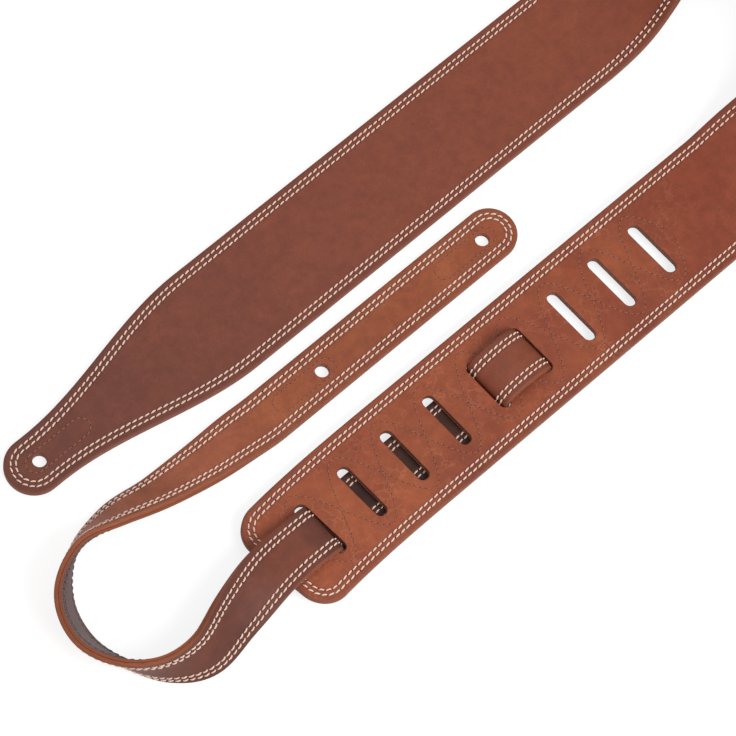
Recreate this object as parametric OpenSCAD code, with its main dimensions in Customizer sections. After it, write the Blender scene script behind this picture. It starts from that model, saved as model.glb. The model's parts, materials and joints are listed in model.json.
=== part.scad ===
// Adjustable leather guitar strap, laid out on a table with its middle stood on edge.
// The origin is on the table, on the axis of the button hole in the tapered end.
// +X runs along the strap, +Y across it and +Z up. Millimetres.
//
// Each strap is two layers of leather cemented together and sewn with two rows of thread.
// The narrow tail runs over the slotted end of the wide strap, down through the first slot,
// along beneath it, up over one rung and back under, and its free end lies between the runs.

/* [Wide strap] */
// Width of the wide strap
strap_w = 63.5; // [52:0.5:76]
// Thickness of its front leather
strap_front_t = 2.4; // [1.6:0.1:3.2]
// Thickness of its backing leather
strap_back_t = 1.5; // [1.2:0.1:2]
// Distance between the middles of its two laid runs
run_spacing = 116; // [110:1:140]
// Distance from the button hole to where both laid runs end
run_end = 366; // [350:1:440]
// Radius of the corners at the slotted end
end_corner_r = 15; // [8:0.5:20]

/* [Tapered end] */
// Radius of the button holes, which a strap button's neck fills
button_hole_r = 3.6; // [3:0.1:4.5]
// Radius of the round tip
tip_r = 15; // [12:0.5:20]
// Distance from the button hole back to the middle of the round tip
tip_setback = 3.5; // [0:0.5:5]
// Where the taper starts to widen, from the button hole
taper_start = 3; // [2:0.5:10]
// Where the taper reaches the full width, from the button hole
taper_end = 116; // [90:1:125]
// Where the tapered end bends when it is lifted
taper_flex_x = 132; // [128:1:180]

/* [Slotted end] */
// Number of slots
slot_count = 9; // [8:1:10]
// Distance from one slot to the next
slot_pitch = 28.9; // [25:0.1:33]
// Distance from the button hole to the first slot, along the strap
first_slot_x = 78; // [70:1:90]
// Leather left between the end and the middle of the first slot
end_margin = 31; // [26:0.5:38]
// How much longer each slot is than the tail is wide
slot_play = 4.5; // [4:0.5:9]
// Gap between the tail's edge and the end of the slot that it leans to
slot_side_clear = 1.25; // [0.8:0.05:1.5]
// Gap between the tail and each long side of a slot
slot_clear = 1.3; // [0.9:0.05:1.4]
// Number of the slot that the tail comes up through
rising_slot = 5; // [3:1:6]

/* [Tail] */
// Width of the tail
tail_w = 28; // [22:0.5:34]
// Thickness of its front leather
tail_front_t = 2.4; // [1.6:0.1:2.6]
// Thickness of its backing leather
tail_back_t = 1.5; // [1.2:0.1:1.8]
// Inner radius of the tail's bends at the slots
bend_inner_r = 2; // [1.8:0.1:2.4]
// Gap between the tail and the strap that it crosses
cross_clear = 0.7; // [0.6:0.05:1.2]
// Length of the tail's hidden end, past the last slot that it goes down through
hidden_end = 17; // [10:0.5:17]
// How far the free run lies from midway between the two wide runs
free_run_shift = 3; // [0:0.5:6]
// Distance from the lower bend's start to the loop's other end
loop_offset = 26; // [20:1:40]
// Distance from the loop to the middle button hole
mid_hole_from_loop = 37.5; // [34:0.5:46]
// Distance between the tail's two button holes
hole_spacing = 111; // [92:1:134]
// Leather left between the last button hole and the tip
tip_margin = 19.8; // [16:0.1:24]
// Distance from the last button hole to where the tail's tip bends when it is lifted
tip_flex_from_hole = 57; // [50:1:65]

/* [Sewing] */
// Distance from an edge of the wide strap to its outer row
strap_row_inset = 3.1; // [2.5:0.1:4.5]
// Distance from an edge of the tail to its outer row
tail_row_inset = 2.9; // [2.3:0.1:4]
// Distance between the two rows
row_spacing = 2.6; // [2:0.1:3.2]
// Width of a row of thread
thread_w = 0.8; // [0.5:0.1:1]
// How far the thread stands above the leather
thread_t = 0.15; // [0.1:0.01:0.16]
// How far the sewing round the slots reaches from the strap's middle
braid_reach = 22; // [20.5:0.1:22.5]
// Length of a hole patch
patch_length = 42; // [30:1:46]
// Width of a hole patch
patch_w = 13; // [11:0.5:15]
// Thickness of a hole patch
patch_t = 0.6; // [0.4:0.05:0.8]
// How far a patch reaches past its hole, towards the tip
patch_lead = 9; // [7:0.5:12]

/* [Fits] */
// Cement film between two pieces that are glued together
glue_t = 0.1; // [0.05:0.01:0.2]
// Gap round a patch in its pocket
pocket_clear = 0.3; // [0.1:0.05:0.5]
// Gap at each place where a run bends when it is lifted
flex_gap = 0.3; // [0.2:0.05:0.6]
// Distance from such a place to the nearest thread
thread_end_clear = 0.6; // [0.5:0.1:1.5]

/* [Hidden] */

// Smoothness of round edges
$fn = 64;
// Rings of a swept band between two of its stations
BAND_STEPS = 4;
// Points along each side of the taper, and from its tip round to its side
TAPER_STEPS = 20;
TIP_STEPS = 12;
// Points of the slot sewing from one slot to the next
BRAID_STEPS = 12;
// How far a cutter runs past what it cuts
CUT = 1;
// Break in a row where a laid run meets a turned one
ROW_BREAK = 0.2;

strap_t = strap_front_t + glue_t + strap_back_t;
tail_t = tail_front_t + glue_t + tail_back_t;
// Height of the lower run above the table, to clear the tail beneath it
lower_run_z = tail_t + cross_clear;
lower_run_y = -run_spacing;
lower_run_top = lower_run_z + strap_t;

slot_w = tail_t + 2 * slot_clear;
slot_length = tail_w + slot_play;
ladder_end_x = first_slot_x - end_margin;
function slot_x(number) = first_slot_x + (number - 1) * slot_pitch;

// Middle radius of the tail's bends, and the heights of its middle over and under the strap
bend_r = bend_inner_r + tail_t / 2;
over_z = lower_run_top + cross_clear + tail_t / 2;
under_z = tail_t / 2;
threaded_y = lower_run_y - slot_length / 2 + slot_side_clear + tail_w / 2;
threaded_start_x = first_slot_x - bend_r;
threaded_end_x = slot_x(rising_slot + 1) + hidden_end;

free_run_y = free_run_shift - run_spacing / 2;
loop_end_x = threaded_start_x + loop_offset;
mid_hole_x = loop_end_x + mid_hole_from_loop;
tip_hole_x = mid_hole_x + hole_spacing;
tail_end_x = tip_hole_x + tip_margin;
tip_flex_x = tip_hole_x - tip_flex_from_hole;

// Stations of the two free turns. The wide strap's starts at the slotted end's run, and the
// tail's at its free run. Each is [along, across, lift, bank]: the distance from the turn's
// start, the shares of the way across to the other run and of the way to its height, and how
// far the band leans over from flat, with its front outwards. The first and the last only
// steer the curve's ends.
TURN_STATIONS = [
    [-20, 0, 0, 0], [0, 0, 0, 0], [20, 0, 0, 5], [40, -0.01, 0.05, 17], [61, -0.015, 0.2, 37],
    [82, 0.02, 0.45, 60], [101, 0.12, 0.7, 80], [114, 0.28, 0.9, 91], [119, 0.5, 1, 94],
    [114, 0.72, 1, 91], [101, 0.88, 1, 80], [82, 0.98, 1, 60], [61, 1.015, 1, 37],
    [40, 1.01, 1, 17], [20, 1, 1, 5], [0, 1, 1, 0], [-20, 1, 1, 0]
];
LOOP_STATIONS = [
    [44, -0.015, 0, 0], [26, 0, 0, 0], [8, -0.01, 0, 7], [-15, -0.015, 0, 21], [-43, -0.05, 0, 38],
    [-68, -0.12, 0, 51], [-94, -0.1, 0, 80], [-115, 0.15, 0, 107], [-122, 0.5, 0, 117],
    [-115, 0.84, 0, 109], [-101, 1.08, 0, 86], [-81.5, 1.18, 0.1, 55], [-58, 1.1, 0.5, 36],
    [-34, 1.025, 1, 14], [-16, 1, 1.03, 2], [0, 1, 1, 0], [16, 1, 1, 0]
];
turn_route = [for (p = TURN_STATIONS)
    [run_end + p[0], lower_run_y * (1 - p[1]), lower_run_z * (1 - p[2]), p[3]]];
loop_route = [for (p = LOOP_STATIONS)
    [threaded_start_x + p[0], free_run_y + (threaded_y - free_run_y) * p[1],
     (over_z - tail_t / 2) * p[2], p[3]]];

FRONT_COLOUR = [0.46, 0.25, 0.18];
TAIL_COLOUR = [0.5, 0.28, 0.2];
BACKING_COLOUR = [0.42, 0.35, 0.33];
PATCH_COLOUR = [0.3, 0.2, 0.16];
THREAD_COLOUR = [0.93, 0.8, 0.7];
TONAL_COLOUR = [0.3, 0.14, 0.1];

// ---- swept bands -------------------------------------------------------------------------

// A smooth curve through four neighbouring stations, a share s of the way from b to c
function curve(a, b, c, d, s) =
    (2 * b + (c - a) * s + (2 * a - 5 * b + 4 * c - d) * s * s
     + (3 * b - a - 3 * c + d) * s * s * s) / 2;

function curve_slope(a, b, c, d, s) =
    ((c - a) + (2 * a - 5 * b + 4 * c - d) * 2 * s + (3 * b - a - 3 * c + d) * 3 * s * s) / 2;

// One corner of a band's section: across its width from the outer edge, and up from its middle
function corner(place, heading, lift, across, up) =
    [place[0] + heading[1] * (up * sin(place[3]) - across * cos(place[3])),
     place[1] - heading[0] * (up * sin(place[3]) - across * cos(place[3])),
     lift + up * cos(place[3]) + across * sin(place[3])];

// The section at a share s of the way past station i: its low face from the outer edge
// inwards, and then its high face back again
function section(route, i, s, band_w, band_t, across, up) =
    let (place = curve(route[i], route[i + 1], route[i + 2], route[i + 3], s),
         slope = curve_slope(route[i], route[i + 1], route[i + 2], route[i + 3], s),
         heading = [slope[0], slope[1]] / norm([slope[0], slope[1]]),
         middle = place[2] + band_w / 2 * abs(sin(place[3])) + band_t / 2 * abs(cos(place[3])))
    [for (k = [0:2 * len(across) - 1])
        k < len(across)
            ? corner(place, heading, middle, across[k], up[0])
            : corner(place, heading, middle, across[2 * len(across) - 1 - k], up[1])];

// A strip that follows a route: across gives its edges and folds from the band's middle,
// and up its two faces
module band(route, band_w, band_t, across, up) {
    spans = len(route) - 3;
    rings = concat(
        [for (i = [0:spans - 1]) for (k = [0:BAND_STEPS - 1])
            section(route, i, k / BAND_STEPS, band_w, band_t, across, up)],
        [section(route, spans - 1, 1, band_w, band_t, across, up)]);
    n = 2 * len(across);
    last = n * (len(rings) - 1);
    polyhedron(
        points = [for (ring = rings) for (point = ring) point],
        faces = concat(
            [for (j = [0:n / 2 - 2]) [j, j + 1, n - 2 - j, n - 1 - j]],
            [for (j = [0:n / 2 - 2]) [last + n - 1 - j, last + n - 2 - j, last + j + 1, last + j]],
            [for (i = [0:len(rings) - 2]) for (j = [0:n - 1]) for (half = [0, 1])
                let (a = n * i + j, b = a + n, c = n * (i + 1) + (j + 1) % n, d = c - n)
                j < n / 2
                    ? (half == 0 ? [a, b, c] : [a, c, d])
                    : (half == 0 ? [a, b, d] : [b, c, d])]));
}

// Edges and folds of a leather band: a fold on each side of its sewing
function band_folds(band_w, row_inset) =
    let (edge = band_w / 2, outer = edge - row_inset, inner = outer - row_spacing - thread_w)
    [-edge, -outer, -inner, inner, outer, edge];

// ---- outlines ----------------------------------------------------------------------------

function ease(u) = u * u * (3 - 2 * u);

module box_between(x, y, z) {
    translate([x[0], y[0], z[0]])
        cube([x[1] - x[0], y[1] - y[0], z[1] - z[0]]);
}

// The tapered end with its round tip, from the tip to a place along the strap
module taper_outline(to_x) {
    tip = [for (i = [0:TIP_STEPS])
        [-tip_setback - tip_r * cos(90 * i / TIP_STEPS), tip_r * sin(90 * i / TIP_STEPS)]];
    side = [for (i = [0:TAPER_STEPS])
        [taper_start + (taper_end - taper_start) * i / TAPER_STEPS,
         tip_r + (strap_w / 2 - tip_r) * ease(i / TAPER_STEPS)]];
    edge = concat(tip, side, [[to_x, strap_w / 2]]);
    turned = [for (i = [len(edge) - 1:-1:1]) [edge[i][0], -edge[i][1]]];
    polygon(concat(edge, turned));
}

// The slotted end, drawn in by inset all round, from its rounded end to a place along it
module ladder_outline(inset, to_x) {
    r = end_corner_r - inset;
    half = strap_w / 2 - inset;
    left = ladder_end_x + inset;
    translate([0, lower_run_y]) {
        translate([left + r, -half])
            square([to_x - left - r, 2 * half]);
        translate([left, r - half])
            square([r + CUT, 2 * (half - r)]);
        for (side = [-1, 1])
            translate([left + r, side * (half - r)])
                circle(r);
    }
}

// The tail's round tip, drawn in by inset all round, from a place along it
module tip_outline(inset, from_x) {
    r = tail_w / 2 - inset;
    middle = tail_end_x - tail_w / 2;
    translate([from_x, free_run_y - r])
        square([middle - from_x, 2 * r]);
    translate([middle, free_run_y])
        circle(r);
}

// A long oval round a button hole; way is 1 where it trails towards +X, and -1 towards -X
module patch_outline(inset, way) {
    r = patch_w / 2 - inset;
    for (x = [patch_w / 2 - patch_lead, patch_length - patch_lead - patch_w / 2])
        translate([way * x, 0])
            circle(r);
    translate([way == 1 ? patch_w / 2 - patch_lead : patch_w / 2 + patch_lead - patch_length, -r])
        square([patch_length - patch_w, 2 * r]);
}

module button_hole() {
    translate([0, 0, -CUT])
        cylinder(r = button_hole_r, h = strap_t + 2 * CUT);
}

module slots() {
    straight = slot_length - slot_w;
    for (number = [1:slot_count])
        translate([slot_x(number), lower_run_y, lower_run_z - CUT]) {
            translate([-slot_w / 2, -straight / 2, 0])
                cube([slot_w, straight, strap_t + 2 * CUT]);
            for (side = [-1, 1])
                translate([0, side * straight / 2, 0])
                    cylinder(d = slot_w, h = strap_t + 2 * CUT);
        }
}

// Heights of the layers of a band of given layer thicknesses, from its underside
function back_z(back_t) = [0, back_t];
function front_z(front_t, back_t) = [back_t + glue_t, back_t + glue_t + front_t];
function thread_z(top) = [top, top + thread_t];

module layer(z) {
    translate([0, 0, z[0]])
        linear_extrude(z[1] - z[0])
            children();
}

// The pocket that a patch sits in, cut down from the backing's top
module patch_pocket(back_t, way) {
    layer([back_t - patch_t - glue_t, back_t + CUT])
        patch_outline(-pocket_clear, way);
}

module patch(back_t, way) {
    difference() {
        layer([back_t - patch_t, back_t])
            patch_outline(0, way);
        button_hole();
    }
}

// The ring of thread that holds a patch, on the front
module patch_stitches(top, way) {
    layer(thread_z(top))
        difference() {
            patch_outline(0, way);
            patch_outline(thread_w, way);
        }
}

// ---- tapered end -------------------------------------------------------------------------

taper_cut_x = taper_flex_x - flex_gap / 2;

module taper_front() {
    color(FRONT_COLOUR)
        difference() {
            layer(front_z(strap_front_t, strap_back_t))
                taper_outline(taper_cut_x);
            button_hole();
        }
}

module taper_backing() {
    color(BACKING_COLOUR)
        difference() {
            layer(back_z(strap_back_t))
                taper_outline(taper_cut_x);
            button_hole();
            patch_pocket(strap_back_t, 1);
        }
}

module taper_hole_patch() {
    color(PATCH_COLOUR)
        patch(strap_back_t, 1);
}

module taper_stitches() {
    color(THREAD_COLOUR)
        layer(thread_z(strap_t))
            intersection() {
                for (inset = [strap_row_inset, strap_row_inset + row_spacing])
                    difference() {
                        offset(delta = -inset)
                            taper_outline(taper_flex_x + strap_w);
                        offset(delta = -inset - thread_w)
                            taper_outline(taper_flex_x + strap_w);
                    }
                translate([-strap_w, -strap_w])
                    square([strap_w + taper_flex_x - thread_end_clear, 2 * strap_w]);
            }
}

module taper_patch_stitches() {
    color(TONAL_COLOUR)
        patch_stitches(strap_t, 1);
}

// ---- upper run ---------------------------------------------------------------------------

upper_x = [taper_flex_x + flex_gap / 2, run_end];

module upper_front() {
    color(FRONT_COLOUR)
        box_between(upper_x, [-strap_w / 2, strap_w / 2], front_z(strap_front_t, strap_back_t));
}

module upper_backing() {
    color(BACKING_COLOUR)
        box_between(upper_x, [-strap_w / 2, strap_w / 2], back_z(strap_back_t));
}

module upper_stitches() {
    color(THREAD_COLOUR)
        for (inset = [strap_row_inset, strap_row_inset + row_spacing])
            for (side = [-1, 1])
                translate([0, side * (strap_w / 2 - inset - thread_w / 2), 0])
                    box_between([taper_flex_x + thread_end_clear, run_end - ROW_BREAK],
                                [-thread_w / 2, thread_w / 2], thread_z(strap_t));
}

// ---- turn on edge ------------------------------------------------------------------------

module turn_front() {
    color(FRONT_COLOUR)
        band(turn_route, strap_w, strap_t, band_folds(strap_w, strap_row_inset),
             [strap_t / 2 - strap_front_t, strap_t / 2]);
}

module turn_backing() {
    color(BACKING_COLOUR)
        band(turn_route, strap_w, strap_t, band_folds(strap_w, strap_row_inset),
             [-strap_t / 2, strap_back_t - strap_t / 2]);
}

// Rows of thread along a swept band
module band_rows(route, band_w, band_t, row_inset) {
    for (inset = [row_inset, row_inset + row_spacing])
        for (side = [-1, 1]) {
            middle = side * (band_w / 2 - inset - thread_w / 2);
            band(route, band_w, band_t, [middle - thread_w / 2, middle + thread_w / 2],
                 [band_t / 2 + glue_t, band_t / 2 + glue_t + thread_t]);
        }
}

module turn_stitches() {
    color(THREAD_COLOUR)
        band_rows(turn_route, strap_w, strap_t, strap_row_inset);
}

// ---- slotted end -------------------------------------------------------------------------

module ladder_front() {
    color(FRONT_COLOUR)
        difference() {
            translate([0, 0, lower_run_z])
                layer(front_z(strap_front_t, strap_back_t))
                    ladder_outline(0, run_end);
            slots();
        }
}

module ladder_backing() {
    color(BACKING_COLOUR)
        difference() {
            translate([0, 0, lower_run_z])
                layer(back_z(strap_back_t))
                    ladder_outline(0, run_end);
            slots();
        }
}

module ladder_stitches() {
    color(THREAD_COLOUR)
        layer(thread_z(lower_run_top))
            for (inset = [strap_row_inset, strap_row_inset + row_spacing])
                difference() {
                    ladder_outline(inset, run_end - ROW_BREAK);
                    ladder_outline(inset + thread_w, run_end);
                }
}

// A point of the sewing round the slots, i steps along and out from its own middle
function braid_point(i, side, out) =
    let (turn = 180 / BRAID_STEPS,
         rise = side * braid_reach * cos(turn * i) * PI / slot_pitch,
         straight = norm([1, rise]))
    [slot_x(1) - slot_pitch / 2 + slot_pitch * i / BRAID_STEPS - out * rise / straight,
     side * braid_reach * sin(turn * i) + out / straight];

// One of the two waves of thread that cross between the slots and pass round their ends
module braid_wave(side) {
    last = BRAID_STEPS * slot_count - 1;
    translate([0, lower_run_y])
        polygon(concat([for (i = [1:last]) braid_point(i, side, thread_w / 2)],
                       [for (i = [last:-1:1]) braid_point(i, side, -thread_w / 2)]));
}

module ladder_slot_stitches() {
    color(TONAL_COLOUR)
        layer(thread_z(lower_run_top))
            for (side = [-1, 1])
                braid_wave(side);
}

// ---- threaded part of the tail -----------------------------------------------------------

// A quarter bend round a middle; from is the angle where it starts, up gives its two faces as
// distances outwards from the tail's middle
module quarter_bend(middle, from, up) {
    translate(middle)
        rotate(from)
            difference() {
                intersection() {
                    circle(bend_r + up[1]);
                    square(2 * bend_r + 2 * up[1]);
                }
                circle(bend_r + up[0]);
            }
}

// A straight stretch of the tail's section, between two corners
module stretch(x, z) {
    translate([x[0], z[0]])
        square([x[1] - x[0], z[1] - z[0]]);
}

// The tail dives through a slot: from over the strap, down, and on beneath it
module dive(x, up) {
    quarter_bend([x - bend_r, over_z - bend_r], 0, up);
    stretch([x + up[0], x + up[1]], [under_z + bend_r, over_z - bend_r]);
    quarter_bend([x + bend_r, under_z + bend_r], 180, [-up[1], -up[0]]);
}

// The tail climbs through a slot: from beneath the strap, up, and on over it
module climb(x, up) {
    quarter_bend([x - bend_r, under_z + bend_r], 270, [-up[1], -up[0]]);
    stretch([x - up[1], x - up[0]], [under_z + bend_r, over_z - bend_r]);
    quarter_bend([x + bend_r, over_z - bend_r], 90, up);
}

// Side view of one layer of the threaded tail; up is its two faces above the tail's middle
module threaded_profile(up) {
    rise_x = slot_x(rising_slot);
    fall_x = slot_x(rising_slot + 1);
    dive(first_slot_x, up);
    stretch([first_slot_x + bend_r, rise_x - bend_r], [under_z + up[0], under_z + up[1]]);
    climb(rise_x, up);
    stretch([rise_x + bend_r, fall_x - bend_r], [over_z + up[0], over_z + up[1]]);
    dive(fall_x, up);
    stretch([fall_x + bend_r, threaded_end_x], [under_z + up[0], under_z + up[1]]);
}

module threaded_strip(across, up) {
    translate([0, threaded_y + across[1], 0])
        rotate([90, 0, 0])
            linear_extrude(across[1] - across[0])
                threaded_profile(up);
}

module threaded_tail_front() {
    color(TAIL_COLOUR)
        threaded_strip([-tail_w / 2, tail_w / 2], [tail_t / 2 - tail_front_t, tail_t / 2]);
}

module threaded_tail_backing() {
    color(BACKING_COLOUR)
        threaded_strip([-tail_w / 2, tail_w / 2], [-tail_t / 2, tail_back_t - tail_t / 2]);
}

module threaded_tail_stitches() {
    color(THREAD_COLOUR)
        for (inset = [tail_row_inset, tail_row_inset + row_spacing])
            for (side = [-1, 1]) {
                middle = side * (tail_w / 2 - inset - thread_w / 2);
                threaded_strip([middle - thread_w / 2, middle + thread_w / 2],
                               [tail_t / 2, tail_t / 2 + thread_t]);
            }
}

// ---- loop of the tail --------------------------------------------------------------------

module loop_front() {
    color(TAIL_COLOUR)
        band(loop_route, tail_w, tail_t, band_folds(tail_w, tail_row_inset),
             [tail_t / 2 - tail_front_t, tail_t / 2]);
}

module loop_backing() {
    color(BACKING_COLOUR)
        band(loop_route, tail_w, tail_t, band_folds(tail_w, tail_row_inset),
             [-tail_t / 2, tail_back_t - tail_t / 2]);
}

module loop_stitches() {
    color(THREAD_COLOUR)
        band_rows(loop_route, tail_w, tail_t, tail_row_inset);
}

// ---- free run of the tail ----------------------------------------------------------------

tail_x = [loop_end_x + flex_gap, tip_flex_x - flex_gap / 2];
tail_y = [free_run_y - tail_w / 2, free_run_y + tail_w / 2];

module at_hole(x) {
    translate([x, free_run_y, 0])
        children();
}

module tail_front() {
    color(TAIL_COLOUR)
        difference() {
            box_between(tail_x, tail_y, front_z(tail_front_t, tail_back_t));
            at_hole(mid_hole_x)
                button_hole();
        }
}

module tail_backing() {
    color(BACKING_COLOUR)
        difference() {
            box_between(tail_x, tail_y, back_z(tail_back_t));
            at_hole(mid_hole_x) {
                button_hole();
                patch_pocket(tail_back_t, -1);
            }
        }
}

module tail_hole_patch() {
    color(PATCH_COLOUR)
        at_hole(mid_hole_x)
            patch(tail_back_t, -1);
}

module tail_stitches() {
    color(THREAD_COLOUR)
        for (inset = [tail_row_inset, tail_row_inset + row_spacing])
            for (side = [-1, 1])
                translate([0, free_run_y + side * (tail_w / 2 - inset - thread_w / 2), 0])
                    box_between([loop_end_x + thread_end_clear + flex_gap,
                                 tip_flex_x - thread_end_clear],
                                [-thread_w / 2, thread_w / 2], thread_z(tail_t));
}

module tail_patch_stitches() {
    color(TONAL_COLOUR)
        at_hole(mid_hole_x)
            patch_stitches(tail_t, -1);
}

// ---- tip of the tail ---------------------------------------------------------------------

tip_cut_x = tip_flex_x + flex_gap / 2;

module tip_front() {
    color(TAIL_COLOUR)
        difference() {
            layer(front_z(tail_front_t, tail_back_t))
                tip_outline(0, tip_cut_x);
            at_hole(tip_hole_x)
                button_hole();
        }
}

module tip_backing() {
    color(BACKING_COLOUR)
        difference() {
            layer(back_z(tail_back_t))
                tip_outline(0, tip_cut_x);
            at_hole(tip_hole_x) {
                button_hole();
                patch_pocket(tail_back_t, -1);
            }
        }
}

module tip_hole_patch() {
    color(PATCH_COLOUR)
        at_hole(tip_hole_x)
            patch(tail_back_t, -1);
}

module tip_stitches() {
    color(THREAD_COLOUR)
        layer(thread_z(tail_t))
            for (inset = [tail_row_inset, tail_row_inset + row_spacing])
                difference() {
                    tip_outline(inset, tip_flex_x + thread_end_clear);
                    tip_outline(inset + thread_w, tip_flex_x);
                }
}

module tip_patch_stitches() {
    color(TONAL_COLOUR)
        at_hole(tip_hole_x)
            patch_stitches(tail_t, -1);
}

taper_front();
taper_backing();
taper_hole_patch();
taper_stitches();
taper_patch_stitches();
upper_front();
upper_backing();
upper_stitches();
turn_front();
turn_backing();
turn_stitches();
ladder_front();
ladder_backing();
ladder_stitches();
ladder_slot_stitches();
threaded_tail_front();
threaded_tail_backing();
threaded_tail_stitches();
loop_front();
loop_backing();
loop_stitches();
tail_front();
tail_backing();
tail_stitches();
tail_hole_patch();
tail_patch_stitches();
tip_front();
tip_backing();
tip_stitches();
tip_hole_patch();
tip_patch_stitches();
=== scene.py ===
"""Looks of an adjustable leather guitar strap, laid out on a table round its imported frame.

The wide strap and its tail are cut flat, as a leather worker cuts them, and then laid. A cut is
drawn in flat millimetres: along it, across it, and up from the middle of its two layers. A lay
carries flat places into the frame, so grain and sewing run on unbroken from piece to piece.
"""

import json
import logging
import math
from collections.abc import Sequence
from dataclasses import dataclass, replace
from enum import Enum

import bmesh
import bpy
import numpy as np
from mathutils import Matrix, Vector
from mathutils.geometry import delaunay_2d_cdt

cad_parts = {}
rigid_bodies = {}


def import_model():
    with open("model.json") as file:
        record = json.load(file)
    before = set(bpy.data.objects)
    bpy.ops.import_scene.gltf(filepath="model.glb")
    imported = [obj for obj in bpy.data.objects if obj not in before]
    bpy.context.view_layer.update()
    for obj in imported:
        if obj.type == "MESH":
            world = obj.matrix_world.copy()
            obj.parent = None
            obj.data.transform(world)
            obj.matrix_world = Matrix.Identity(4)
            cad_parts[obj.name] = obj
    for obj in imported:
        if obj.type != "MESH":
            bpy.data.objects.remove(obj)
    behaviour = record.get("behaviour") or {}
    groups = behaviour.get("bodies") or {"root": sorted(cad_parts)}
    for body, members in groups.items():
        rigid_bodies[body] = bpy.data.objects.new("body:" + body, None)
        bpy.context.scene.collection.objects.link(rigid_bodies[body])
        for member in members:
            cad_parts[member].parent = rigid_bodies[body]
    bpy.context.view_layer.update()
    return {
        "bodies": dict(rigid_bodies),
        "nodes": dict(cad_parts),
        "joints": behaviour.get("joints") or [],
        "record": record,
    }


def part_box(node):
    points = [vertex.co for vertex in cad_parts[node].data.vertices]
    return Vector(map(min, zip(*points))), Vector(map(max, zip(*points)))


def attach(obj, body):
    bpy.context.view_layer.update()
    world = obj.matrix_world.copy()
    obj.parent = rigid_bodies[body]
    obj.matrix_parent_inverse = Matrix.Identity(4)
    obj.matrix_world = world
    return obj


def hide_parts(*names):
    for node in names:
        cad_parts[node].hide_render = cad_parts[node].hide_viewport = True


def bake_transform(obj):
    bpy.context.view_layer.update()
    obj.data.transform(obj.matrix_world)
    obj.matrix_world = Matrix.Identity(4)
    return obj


LOG = logging.getLogger("guitar_strap")
MM = 0.001
Colour = tuple[float, float, float, float]

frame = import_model()


# ---- what the frame says -------------------------------------------------------------------


def node_box(node: str) -> tuple[np.ndarray, np.ndarray]:
    """Lowest and highest corners of a CAD node, in millimetres.

    Args:
        node: The node's name.

    Returns:
        Its lowest corner and its highest corner.
    """
    low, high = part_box(node)
    return np.array(low) / MM, np.array(high) / MM


@dataclass(frozen=True)
class Layout:
    """Sizes and places of the strap's runs, read from the frame, in millimetres."""

    strap_w: float
    strap_t: float
    strap_back_t: float
    run_end: float
    tip_x: float
    lower_y: float
    lower_z: float
    ladder_end: float
    tail_w: float
    tail_t: float
    tail_back_t: float
    tail_y: float
    tail_end: float
    loop_x: float
    dive_x: float
    over_z: float
    threaded_y: float
    threaded_end: float
    taper_hole: float
    middle_hole: float
    last_hole: float
    hole_r: float
    first_slot: float
    slot_pitch: float
    joints: dict[str, float]

    @classmethod
    def read(cls, loaded: dict) -> "Layout":
        """Reads the layout.


        Returns:
            The layout.
        """
        upper_low, upper_high = node_box("upper_front")
        upper_back_high = node_box("upper_backing")[1]
        ladder_low, ladder_high = node_box("ladder_backing")
        tail_low, tail_high = node_box("tail_front")
        threaded_low, threaded_high = node_box("threaded_tail_front")
        record = loaded["record"]
        mounts = {m["name"]: m for m in record["mounts"]}
        slots = {
            o["name"]: (o["box_m"][0][0] + o["box_m"][1][0]) / 2 / MM
            for o in record["physics"]["openings"]
            if o["name"].startswith("slot_")
        }
        pitch = slots["slot_3"] - slots["slot_2"]
        joints = {j["name"]: j["pos_m"][0] / MM for j in loaded["joints"]}
        tail_t = float(tail_high[2])
        return cls(
            strap_w=float(upper_high[1] - upper_low[1]),
            strap_t=float(upper_high[2]),
            strap_back_t=float(upper_back_high[2]),
            run_end=float(upper_high[0]),
            tip_x=float(node_box("taper_front")[0][0]),
            lower_y=float((ladder_low[1] + ladder_high[1]) / 2),
            lower_z=float(ladder_low[2]),
            ladder_end=float(ladder_low[0]),
            tail_w=float(tail_high[1] - tail_low[1]),
            tail_t=tail_t,
            tail_back_t=float(node_box("tail_backing")[1][2]),
            tail_y=float((tail_low[1] + tail_high[1]) / 2),
            tail_end=float(node_box("tip_front")[1][0]),
            loop_x=float(node_box("loop_front")[1][0]),
            dive_x=float(threaded_low[0]),
            over_z=float(threaded_high[2]) - tail_t / 2,
            threaded_y=float((threaded_low[1] + threaded_high[1]) / 2),
            threaded_end=float(threaded_high[0]),
            taper_hole=mounts["taper_button_hole"]["pos_m"][0] / MM,
            middle_hole=mounts["tail_mid_button_hole"]["pos_m"][0] / MM,
            last_hole=mounts["tail_tip_button_hole"]["pos_m"][0] / MM,
            hole_r=mounts["taper_button_hole"]["dims"]["r_mm"],
            first_slot=slots["slot_2"] - pitch,
            slot_pitch=pitch,
            joints=joints,
        )


# ---- lays ----------------------------------------------------------------------------------


def distances(line: np.ndarray) -> np.ndarray:
    """Distance along a line from its start.

    Args:
        line: The line's points, one a row.

    Returns:
        One distance for each point.
    """
    legs = np.linalg.norm(np.diff(line, axis=0), axis=1)
    return np.concatenate([[0.0], np.cumsum(legs)])


def unit(directions: np.ndarray) -> np.ndarray:
    """Directions made one long, one a row."""
    return directions / np.linalg.norm(directions, axis=1, keepdims=True)


def eased(rise: float, share: np.ndarray) -> np.ndarray:
    """A rise that starts and ends gently, at shares of its way from 0 to 1."""
    return rise * share**2 * (3 - 2 * share)


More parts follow.
